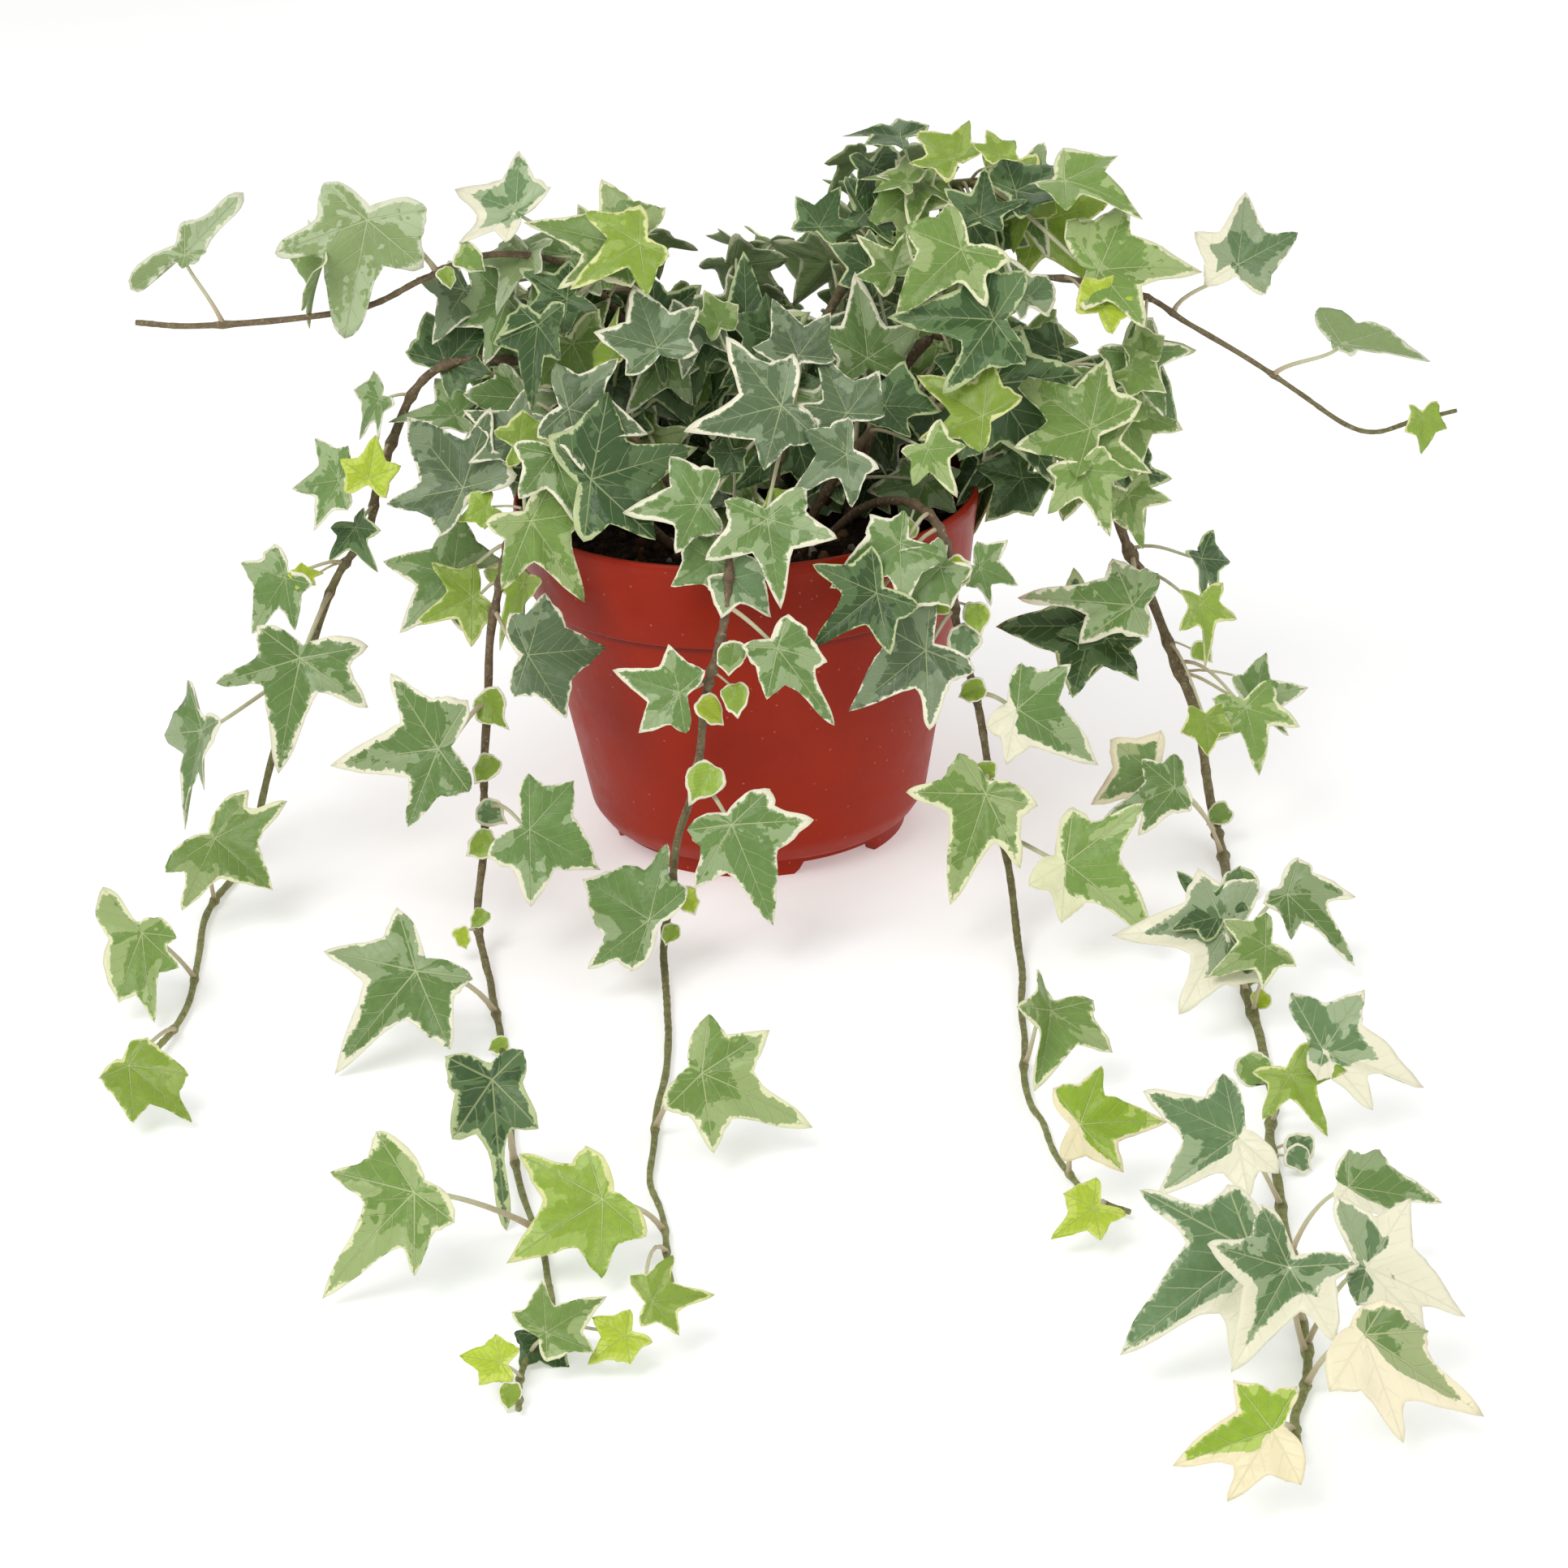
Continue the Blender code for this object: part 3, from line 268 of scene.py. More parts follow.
# lobes of the leaves that have shapes of their own, as (angle from the tip, share of the length):
# bay, lobe, bay, lobe on one side, then lobe, bay, lobe, bay on the other
LOBES = {
    "leaf_01": [(40, .35), (65, .75), (90, .45), (110, .60), (-115, .45), (-85, .35), (-60, .75), (-40, .40)],
    "leaf_03": [(35, .55), (68, 1.0), (84, .55), (100, .75), (-100, .75), (-84, .60), (-68, 1.05), (-38, .55)],
    "leaf_04": [(18, .60), (35, .72), (47, .40), (62, .46), (-150, .68), (-85, .33), (-24, .80), (-12, .70)],
    "leaf_05": [(15, .65), (30, .72), (65, .38), (100, .38), (-105, .38), (-72, .42), (-40, .75), (-20, .58)],
    "leaf_06": [(32, .50), (63, 1.0), (92, .52), (115, .80), (-155, .65), (-122, .50), (-88, .75), (-38, .42)],
    "leaf_08": [(30, .58), (68, .80), (88, .50), (108, .56), (-115, .55), (-90, .50), (-66, .90), (-35, .60)],
    "leaf_09": [(40, .37), (64, .75), (90, .43), (120, .50), (-128, .50), (-92, .43), (-64, .78), (-40, .40)],
    "leaf_10": [(45, .55), (77, .80), (98, .55), (120, .68), (-115, .64), (-86, .55), (-60, 1.0), (-30, .60)],
    "leaf_11": [(32, .42), (63, .72), (94, .40), (118, .46), (-124, .50), (-96, .37), (-63, .73), (-37, .41)],
    "leaf_12": [(16, .39), (38, .48), (75, .22), (130, .30), (-120, .36), (-70, .28), (-37, .52), (-21, .40)],
    "leaf_13": [(33, .44), (47, .66), (74, .36), (95, .42), (-103, .53), (-82, .42), (-60, .65), (-33, .38)],
    "leaf_14": [(24, .44), (37, .52), (76, .33), (125, .36), (-130, .36), (-88, .29), (-50, .52), (-26, .38)],
    "leaf_15": [(37, .48), (70, .75), (90, .43), (110, .48), (-105, .42), (-78, .36), (-53, .70), (-29, .45)],
    "leaf_16": [(56, .55), (76, .92), (92, .62), (108, .68), (-108, .58), (-88, .50), (-69, .92), (-50, .60)],
    "leaf_17": [(24, .42), (56, .65), (81, .37), (107, .47), (-108, .47), (-83, .40), (-59, .70), (-36, .47)],
    "leaf_18": [(36, .52), (59, .76), (78, .46), (104, .56), (-104, .50), (-82, .44), (-61, .85), (-30, .52)],
    "leaf_19": [(38, .45), (59, .84), (93, .46), (129, .58), (-128, .40), (-102, .30), (-74, .50), (-42, .42)],
    "leaf_21": [(35, .42), (53, .85), (88, .42), (118, .56), (-133, .52), (-101, .44), (-67, .80), (-47, .44)],
    "leaf_22": [(44, .42), (73, .68), (95, .42), (118, .46), (-114, .38), (-92, .34), (-70, .58), (-40, .40)],
    "leaf_23": [(28, .45), (42, .72), (72, .38), (92, .46), (-128, .42), (-96, .38), (-71, .70), (-41, .38)],
    "leaf_24": [(45, .44), (75, .80), (98, .42), (121, .50), (-106, .40), (-80, .34), (-57, .56), (-28, .38)],
    "leaf_26": [(18, .42), (43, .60), (75, .27), (118, .32), (-122, .36), (-94, .30), (-61, .46), (-37, .34)],
    "leaf_27": [(40, .50), (76, .85), (100, .45), (130, .70), (-122, .36), (-98, .30), (-72, .64), (-38, .40)],
    "leaf_28": [(15, .55), (30, .80), (62, .36), (95, .38), (-112, .44), (-88, .34), (-62, .55), (-35, .38)],
    "leaf_30": [(30, .42), (45, .72), (85, .34), (117, .42), (-110, .30), (-80, .24), (-46, .52), (-22, .34)],
    "leaf_31": [(50, .42), (72, .70), (104, .44), (135, .60), (-90, .32), (-66, .27), (-36, .70), (-14, .46)],
    "leaf_32": [(35, .42), (64, .66), (82, .45), (100, .58), (-114, .66), (-88, .52), (-61, 1.05), (-30, .55)],
    "leaf_33": [(26, .44), (42, .68), (60, .34), (85, .35), (-108, .42), (-86, .36), (-64, .75), (-42, .40)],
    "leaf_35": [(35, .48), (56, .55), (75, .36), (95, .38), (-120, .25), (-60, .30), (-26, .64), (-13, .58)],
    "leaf_36": [(45, .45), (77, .75), (104, .45), (132, .70), (-90, .40), (-60, .36), (-28, .74), (-14, .60)],
    "leaf_37": [(22, .44), (38, .46), (60, .32), (90, .30), (-90, .50), (-66, .44), (-40, .80), (-28, .54)],
    "leaf_38": [(22, .50), (38, .80), (66, .44), (96, .57), (-140, .48), (-110, .36), (-71, .57), (-46, .38)],
    "leaf_39": [(32, .40), (62, .60), (84, .46), (113, .50), (-118, .46), (-85, .40), (-58, .80), (-38, .48)],
    "leaf_41": [(23, .64), (30, .62), (64, .37), (122, .57), (-140, .12), (-90, .20), (-50, .26), (-20, .50)],
    "side_on": [(25, .42), (42, .40), (85, .16), (165, .75), (-150, .16), (-110, .12), (-70, .18),
                (-35, .26)],
}
# leaves on the far side of the crown: stem, count, centre x, centre y, centre z, reach, first turn, turn step
FAR_SIDE = [
    ("shoot_6", 8, -56, 60, 152, 26, 140, 23),
    ("shoot_7", 8, 54, 62, 154, 26, 130, 25),
    ("shoot_8", 8, -2, 76, 150, 26, 135, 24),
    ("shoot_2", 5, 46, 44, 186, 24, 150, 31),
    ("shoot_1", 4, -36, 36, 164, 22, 160, 29),
]


def shade(red, green, blue):
    """Linear colour from display values 0 to 255: (v / 255) to the power 2.2."""
    return tuple((v / 255.0) ** 2.2 for v in (red, green, blue))


CREAM = shade(240, 236, 208)
# tone letter -> (deep green, pale patches, margin, share of pale patches, width of the cream side)
TONES = {
    # d: every colour, the margin too, darker than in m: partly the leaves' own deep green, partly painted
    # shade for leaves deep in the crown and under other leaves
    "d": (shade(66, 92, 52), shade(94, 120, 76), shade(190, 202, 148), 0.40, 0.0),
    "m": (shade(106, 136, 74), shade(150, 170, 122), CREAM, 0.50, 0.0),
    "b": (shade(90, 110, 76), shade(126, 144, 110), CREAM, 0.45, 0.0),
    "g": (shade(120, 150, 74), shade(162, 182, 118), shade(234, 234, 190), 0.50, 0.0),
    "l": (shade(140, 168, 62), shade(160, 184, 90), shade(224, 226, 156), 0.35, 0.0),
    "y": (shade(172, 194, 56), shade(190, 208, 84), shade(214, 220, 122), 0.35, 0.0),
    "h": (shade(102, 130, 86), shade(156, 174, 134), CREAM, 0.60, 0.30),
    "e": (shade(104, 132, 86), shade(160, 178, 138), CREAM, 0.60, 0.13),
    "c": (shade(118, 148, 84), shade(176, 190, 134), shade(246, 236, 202), 0.60, 0.62),
    "k": (shade(140, 170, 52), shade(174, 196, 96), shade(242, 230, 188), 0.40, 0.34),
    "u": (shade(136, 158, 100), shade(180, 196, 156), shade(234, 234, 208), 0.55, 0.0),
}
UNDERSIDE = shade(142, 160, 112)
CREAM_SIDE = 0.26  # width of the cream side where the tone gives none, in leaf lengths
MARGIN_WIDTH = 0.022  # narrowest cream margin, in leaf lengths
PALE_THRESHOLD = 0.548  # noise level over which the pale band widens
FLOOR_GLOW = 0.32
BLUNT = ("leaf_39", "leaf_41", "side_on")  # leaves with rounded lobe tips

# blade outlines from the tip of the middle lobe round to the stalk: (angle, reach, spread) of every lobe tip
# and every bay between lobes. spread is the angle between the edge that leaves the point and the line out
# from the stalk: well over 90 makes a tip, under 90 a bay. The last point is the bay where the stalk comes in.
TIP_SPREAD = 105
OUTLINES = {
    "five": [(0, 1.00, 148), (35, 0.44, 62), (62, 0.76, 138), (92, 0.43, 64), (119, 0.53, 126),
             (180, 0.12, 58)],
    "small": [(0, 1.00, 142), (34, 0.56, 70), (62, 0.78, 134), (100, 0.48, 74), (130, 0.56, 118),
              (180, 0.16, 60)],
    "bud": [(0, 1.00, 140), (34, 0.72, 100), (70, 0.62, 94), (106, 0.60, 92), (142, 0.56, 92),
            (180, 0.46, 90)],
}


# ---- shapes as dictionaries: points, quads, tris, and values carried by points and by face corners -------
def joined(parts):
    """Parts stacked into one: points one after another, face numbers moved on by the points that come
    before."""
    starts = np.cumsum([0] + [len(p["points"]) for p in parts[:-1]])
    whole = {"points": np.concatenate([p["points"] for p in parts])}
    for kind, width in (("quads", 4), ("tris", 3)):
        whole[kind] = np.concatenate([np.reshape(p[kind], (-1, width)) + s for p, s in zip(parts, starts)])
    for key in parts[0]:
        if key not in whole:
            whole[key] = np.concatenate([p[key] for p in parts])
    if "veins_quads" in whole:
        whole["veins"] = np.concatenate([whole.pop("veins_quads"), whole.pop("veins_tris")])
    return whole


def make_piece(name, shape, material, slot, *nodes):
    """Mesh from whole arrays: quads first, then triangles. Point values become attributes, and corner
    values a UV map."""
    mesh = bpy.data.meshes.new(name)
    points, quads, tris = shape["points"], shape["quads"], shape["tris"]
    corners = np.concatenate([quads.ravel(), tris.ravel()]).astype(np.int32)
    totals = np.concatenate([np.full(len(quads), 4), np.full(len(tris), 3)]).astype(np.int32)
    mesh.vertices.add(len(points))
    mesh.vertices.foreach_set("co", points.astype(np.float32).ravel())
    mesh.loops.add(len(corners))
    mesh.loops.foreach_set("vertex_index", corners)
    mesh.polygons.add(len(totals))
    mesh.polygons.foreach_set("loop_start", (np.cumsum(totals) - totals).astype(np.int32))
    mesh.polygons.foreach_set("loop_total", totals)
    mesh.update(calc_edges=True)
    mesh.polygons.foreach_set("use_smooth", np.ones(len(totals), bool))
    for key, values in shape.items():
        if key in ("points", "quads", "tris"):
            continue
        values = values.astype(np.float32)
        if key == "veins":
            mesh.uv_layers.new(name="veins").data.foreach_set("uv", values.ravel())
        elif values.ndim == 1:
            mesh.attributes.new(key, "FLOAT", "POINT").data.foreach_set("value", values)
        else:
            mesh.attributes.new(key, "FLOAT_VECTOR", "POINT").data.foreach_set("vector", values.ravel())
    mesh.validate()
    mesh.materials.append(material)
    piece = bpy.data.objects.new(name, mesh)
    bpy.context.scene.collection.objects.link(piece)
    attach(piece, "root")
    if nodes:
        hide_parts(*nodes)
    return piece


def smooth_curve(points, per_span):
    """Curve through the points: in every span the cubic whose end slopes are half the chord between
    neighbours, worked out for all spans and steps at once."""
    p = np.asarray(points, float)
    p = np.vstack([2 * p[0] - p[1], p, 2 * p[-1] - p[-2]])
    a, b, c, d = p[:-3, None], p[1:-2, None], p[2:-1, None], p[3:, None]
    t = (np.arange(per_span) / per_span)[None, :, None]
    curve = 0.5 * (2 * b + (c - a) * t + (2 * a - 5 * b + 4 * c - d) * t ** 2
                   + (3 * b - a - 3 * c + d) * t ** 3)
    return np.vstack([curve.reshape(-1, 3), p[-2]])


def cubic(a, b, c, d, t):
    """Cubic from a to d that leaves towards b and arrives from c."""
    return a * (1 - t) ** 3 + b * 3 * t * (1 - t) ** 2 + c * 3 * t * t * (1 - t) + d * t ** 3


def blend(share, places, values):
    """Rows of values at the given places, filled in between for every share."""
    return np.stack([np.interp(share, places, column) for column in np.transpose(values)], -1)


def skin_faces(rings, sides):
    """Quads and tris of a skin of rings that two pole points, which follow the rings, close at its ends."""
    i, k = np.meshgrid(np.arange(rings - 1), np.arange(sides), indexing="ij")
    m = (k + 1) % sides
    here, above = i * sides, (i + 1) * sides
    quads = np.stack([here + k, here + m, above + m, above + k], -1).reshape(-1, 4)
    k = np.arange(sides)
    m = (k + 1) % sides
    low, high = np.full(sides, rings * sides), np.full(sides, rings * sides + 1)
    last = (rings - 1) * sides
    tris = np.concatenate([np.stack([low, m, k], -1), np.stack([high, last + k, last + m], -1)])
    return quads, tris


def tube(path, radius, sides, **values):
    """Skin round a path: point(i, k) = path_i + radius_i (cos a_k side_i + sin a_k other_i). side_i is
    square to the path's slope and lies in the plane that the path mostly keeps to. Both ends close on a
    pole."""
    path = np.asarray(path, float)
    slope = np.gradient(path, axis=0)
    slope /= np.linalg.norm(slope, axis=1)[:, None]
    flat = np.linalg.svd(path - path.mean(0))[2][2]
    side = np.cross(flat, slope)
    side /= np.linalg.norm(side, axis=1)[:, None]
    other = np.cross(slope, side)
    a = TURN * np.arange(sides) / sides
    ring = np.cos(a)[None, :, None] * side[:, None] + np.sin(a)[None, :, None] * other[:, None]
    points = path[:, None] + np.broadcast_to(radius, len(path))[:, None, None] * ring
    n = len(path)
    quads, tris = skin_faces(n, sides)
    shape = {"points": np.vstack([points.reshape(-1, 3), path[0], path[-1]]), "quads": quads, "tris": tris}
    for key, value in values.items():
        value = np.broadcast_to(value, (n,) + np.shape(value)[1:]) if np.ndim(value) else np.full(n, value)
        shape[key] = np.concatenate([np.repeat(value, sides, axis=0), value[:1], value[-1:]])
    return shape


# ---- leaves ----------------------------------------------------------------------------------------------
def leaf_axes(turn, lift, spin):
    """Unit vectors of a leaf: upper side, towards the tip, across. The upper side starts at the front, is
    tipped up by lift and turned by turn; the tip starts straight down and swings by spin."""
    a, e, s = np.radians([turn, lift, spin])
    up = np.array([np.sin(a) * np.cos(e), -np.cos(a) * np.cos(e), np.sin(e)])
    right = np.array([np.cos(a), np.sin(a), 0.0])
    down = np.array([np.sin(a) * np.sin(e), -np.cos(a) * np.sin(e), -np.cos(e)])
    tip = down * np.cos(s) + right * np.sin(s)
    return up, tip, np.cross(up, tip)


def blade_outline(style, chance, per_edge):
    """Closed outline of a blade of length 1 with its tip on +x. Between neighbouring points of the style (a
    lobe tip and a bay) runs a cubic that leaves and arrives at the given spread, so tips are sharp and bays
    round. Reaches and angles vary a little, except in a leaf with lobes of its own. Returns outline (n, 2),
    the lobe angle of every edge step, all lobe angles."""
    own_lobes = LOBES.get(style)
    keys = np.array(OUTLINES["five" if own_lobes else style], float)
    sides = []
    for sign in (1, -1):
        k = keys.copy()
        k[1:-1, 0] += chance.normal(0, 3.0, len(k) - 2)
        k[1:-1, 1] *= 1 + chance.normal(0, 0.07, len(k) - 2)
        k[:, 0] *= sign
        sides.append(k)
        k[::2, 2] = 90 + (k[::2, 2] - 90) * (0.55 if style in BLUNT else 1.0)
    if own_lobes:
        sides[0][1:-1, :2] = own_lobes[:4]
        sides[1][1:-1, :2] = own_lobes[:3:-1]
    loop = np.vstack([sides[0], sides[1][-2:0:-1]])
    loop[len(sides[0]) - 1, 0] = 180.0
    angle, reach, spread = np.radians(loop[:, 0]), loop[:, 1], np.radians(loop[:, 2])
    angle = np.unwrap(np.where(np.arange(len(angle)) >= len(sides[0]), angle + TURN, angle))
    here = reach[:, None] * np.stack([np.cos(angle), np.sin(angle)], -1)
    leave = np.stack([np.cos(angle + spread), np.sin(angle + spread)], -1)
    arrive = np.stack([np.cos(angle - spread), np.sin(angle - spread)], -1)
    there, arrive = np.roll(here, -1, 0), np.roll(arrive, -1, 0)
    chord = np.linalg.norm(there - here, axis=1)[:, None]
    b, c = here + leave * chord * 0.40, there + arrive * chord * 0.36
    t = (np.arange(per_edge) / per_edge)[None, :, None]
    edge = cubic(here[:, None], b[:, None], c[:, None], there[:, None], t).reshape(-1, 2)
    around = np.arctan2(edge[:, 1], edge[:, 0])
    phase = chance.uniform(0, TURN, 3)
    wave = (0.010 * np.sin(13 * around + phase[0]) + 0.008 * np.sin(23 * around + phase[1])
            + 0.006 * np.sin(37 * around + phase[2]))
    edge *= (1 + wave)[:, None]
    is_tip = spread > math.radians(TIP_SPREAD)
    own = np.where(is_tip, angle, np.roll(angle, -1))
    if style == "bud":
        own = np.zeros(len(angle))
    lobes = own if style == "bud" else angle[is_tip]
    return edge, np.repeat(own, per_edge), lobes


def edge_distance(where, edge):
    """Shortest distance from every place on the blade to the outline, taken over all outline steps at
    once."""
    a = edge
    d = np.roll(edge, -1, 0) - a
    w = where[:, None] - a[None]
    t = np.clip((w * d).sum(-1) / (d * d).sum(-1), 0, 1)
    return np.linalg.norm(w - t[..., None] * d, axis=-1).min(1)


def leaf_shape(row, number):
    """One thin closed blade. On the grid (share of the way to the outline, step along the outline) the
    height over the leaf's own plane is fold |v| - droop u^2 + quilt r (1 - exp(-(angle to the nearest
    vein)^2)) + slow waves that grow to the rim. The underside is the same sheet one thickness lower, and
    the rim joins the two."""
    x, y, z, length, turn, lift, spin, tone, side, style, fold, droop, fine = row
    chance = np.random.default_rng(1000 + number)
    per_edge, rings = (10, 9) if fine else (7, 6)
    if style == "bud":
        per_edge, rings = 4, 4
    edge, own, lobes = blade_outline(style, chance, per_edge)
    n = len(edge)
    share = (np.arange(1, rings + 1) / rings) ** 0.85
    flat = np.vstack([[[0.0, 0.0]], (share[:, None, None] * edge[None]).reshape(-1, 2)])
    u, v = flat.T
    r = np.hypot(u, v)
    around = np.arctan2(v, u)
    off = np.abs((around[:, None] - lobes[None] + np.pi) % TURN - np.pi).min(1)
    out = np.concatenate([[0.0], np.repeat(share, n)])
    p = chance.uniform(0, TURN, 4)
    height = (fold * (np.sqrt(v * v + 0.0016) - 0.04) - droop * np.maximum(u, 0) ** 2
              + 0.085 * r * (1 - np.exp(-(off / 0.34) ** 2)) - 0.06 * r * r
              + 0.045 * out ** 2 * r * np.sin(2 * around + p[0])
              + 0.032 * out ** 3 * np.sin(5 * around + p[1])
              + 0.014 * out ** 4 * np.sin(11 * around + p[2]) + 0.05 * chance.normal() * u * v)
    up, tip, across = leaf_axes(turn, lift, spin)
    half = np.where(out < 0.99, 0.26, 0.12)[:, None] * MM
    local = u[:, None] * tip + v[:, None] * across + height[:, None] * up
    middle = (np.array([x, y, z]) + length * local) * MM
    points = np.vstack([middle + up * half, middle - up * half])
    j, k = np.meshgrid(np.arange(rings - 1), np.arange(n), indexing="ij")
    m = (k + 1) % n
    inner, outer = 1 + j * n, 1 + (j + 1) * n
    top = np.stack([inner + k, outer + k, outer + m, inner + m], -1).reshape(-1, 4)
    under = len(flat)
    k = np.arange(n)
    m = (k + 1) % n
    last = 1 + (rings - 1) * n
    rim = np.stack([last + k, under + last + k, under + last + m, last + m], -1)
    quads = np.concatenate([top, top[:, ::-1] + under, rim])
    fan = np.stack([np.zeros(n, int), 1 + k, 1 + m], -1)
    tris = np.concatenate([fan, fan[:, ::-1] + under])
    vein_of_quads = np.concatenate([np.tile(own, rings - 1)] * 2 + [own])
    vein_of_tris = np.concatenate([own, own])
    both = np.vstack([flat, flat])

    def along_vein(faces, angle):
        """Corner values: distance along the lobe's own vein and distance to it, in leaf lengths."""
        c, s = np.cos(angle)[:, None], np.sin(angle)[:, None]
        pu, pv = both[faces][..., 0], both[faces][..., 1]
        return np.stack([pu * c + pv * s, pv * c - pu * s], -1).reshape(-1, 2)

    deep, pale, margin, patches, cream = TONES[tone]
    if side is not None and cream == 0.0:
        cream = CREAM_SIDE
    toward = np.cos(around - math.radians(side or 0.0))
    creamy = cream * np.clip(0.12 + 1.1 * toward, 0, 1) if side is not None else np.full(len(r), 0.10 * cream)
    creamy = creamy + (0.05 if style == "bud" else 0.0)
    seed = chance.uniform(0, 1, 3)
    creamy = creamy + 0.015 * np.sin(around + TURN * seed[0]) + 0.012 * np.sin(3 * around + TURN * seed[1])
    unit = (r > 0)[:, None] * np.stack([np.cos(around), np.sin(around)], -1)
    wedge = np.column_stack([1.3 * unit[:, 0], 1.3 * unit[:, 1], 0.5 * r]) + seed * (31.0, 17.0, 23.0)
    distance = edge_distance(flat, edge)
    size = len(points)
    lively = 1 + chance.normal(0, 0.07)
    return {
        "points": points, "quads": quads, "tris": tris,
        "veins_quads": along_vein(quads, vein_of_quads), "veins_tris": along_vein(tris, vein_of_tris),
        "rim": np.tile(distance, 2), "creamy": np.tile(creamy, 2), "wedge": np.tile(wedge, (2, 1)),
        "under": np.repeat([0.4 if tone == "u" else 0.0, 1.0], len(flat)),
        "patchy": np.full(size, patches * chance.uniform(0.3, 1.2)),
        "tone": np.tile(np.array(deep) * lively, (size, 1)),
        "pale": np.tile(np.array(pale) * lively, (size, 1)),
        "trim": np.tile(CREAM if style == "bud" else margin, (size, 1)),
    }


def stalk_curve(start, end, up, tip, seed):
    """Cubic from the stem to the back of a blade, which sets off rising and arrives square to the blade."""
    chance = np.random.default_rng(5000 + seed)
    reach = np.linalg.norm(end - start)
    b = start + (end - start) * 0.3 + np.array([0, 0, 0.16 * reach]) + chance.normal(0, 0.05, 3) * reach
    c = end - up * min(0.35 * reach, 7.0) - tip * min(0.25 * reach, 3.5)
    t = np.linspace(0, 1, 11)[:, None]
    return cubic(start, b, c, end, t)


# ---- materials -------------------------------------------------------------------------------------------
class Finish:
    """A node material under construction. node() adds a node and gives back one of its outputs; calc,
    value, noise, step and mix are the nodes used most."""

    def __init__(self, name, rough, specular):
        self.material = bpy.data.materials.new(name)
        self.material.use_nodes = True
        self.tree = self.material.node_tree
        self.set("Roughness", rough)
        self.set("Specular IOR Level", specular)
        self.place = self.node("TexCoord", "Object")

    def put(self, socket, value):
        if isinstance(value, bpy.types.NodeSocket):
            self.tree.links.new(value, socket)
        elif isinstance(value, tuple) and socket.type == "RGBA":
            socket.default_value = (*value, 1.0)
        else:
            socket.default_value = value

    def set(self, name, value):
        """Gives the surface shader's input of that name a constant or a link."""
        self.put(self.tree.nodes["Principled BSDF"].inputs[name], value)

    def node(self, kind, output, inputs=(), **settings):
        made = self.tree.nodes.new("ShaderNode" + kind)
        for key, value in settings.items():
            setattr(made, key, value)
        for socket, value in inputs:
            self.put(made.inputs[socket], value)
        return made.outputs[output]

    def calc(self, operation, a, b=0.0, c=0.0):
        return self.node("Math", 0, enumerate((a, b, c)), operation=operation)

    def value(self, name, output="Fac"):
        return self.node("Attribute", output, attribute_name=name)

    def noise(self, where, scale, detail=2.0, rough=0.5, output="Fac"):
        inputs = (("Vector", where), ("Scale", scale), ("Detail", detail), ("Roughness", rough))
        return self.node("TexNoise", output, inputs)

    def stretched(self, size):
        return self.node("Mapping", "Vector", (("Vector", self.place), ("Scale", size)))

    def step(self, value, low, high, at_low=0.0, at_high=1.0):
        """Straight ramp from at_low to at_high as value goes from low to high, flat outside."""
        return self.node("MapRange", "Result", enumerate((value, low, high, at_low, at_high)))

    def mix(self, share, a, b, blend="MIX"):
        return self.node("Mix", 2, ((0, share), (6, a), (7, b)), data_type="RGBA", blend_type=blend)

    def bump(self, height, distance, strength):
        inputs = (("Strength", strength), ("Distance", distance), ("Height", height))
        self.set("Normal", self.node("Bump", "Normal", inputs))


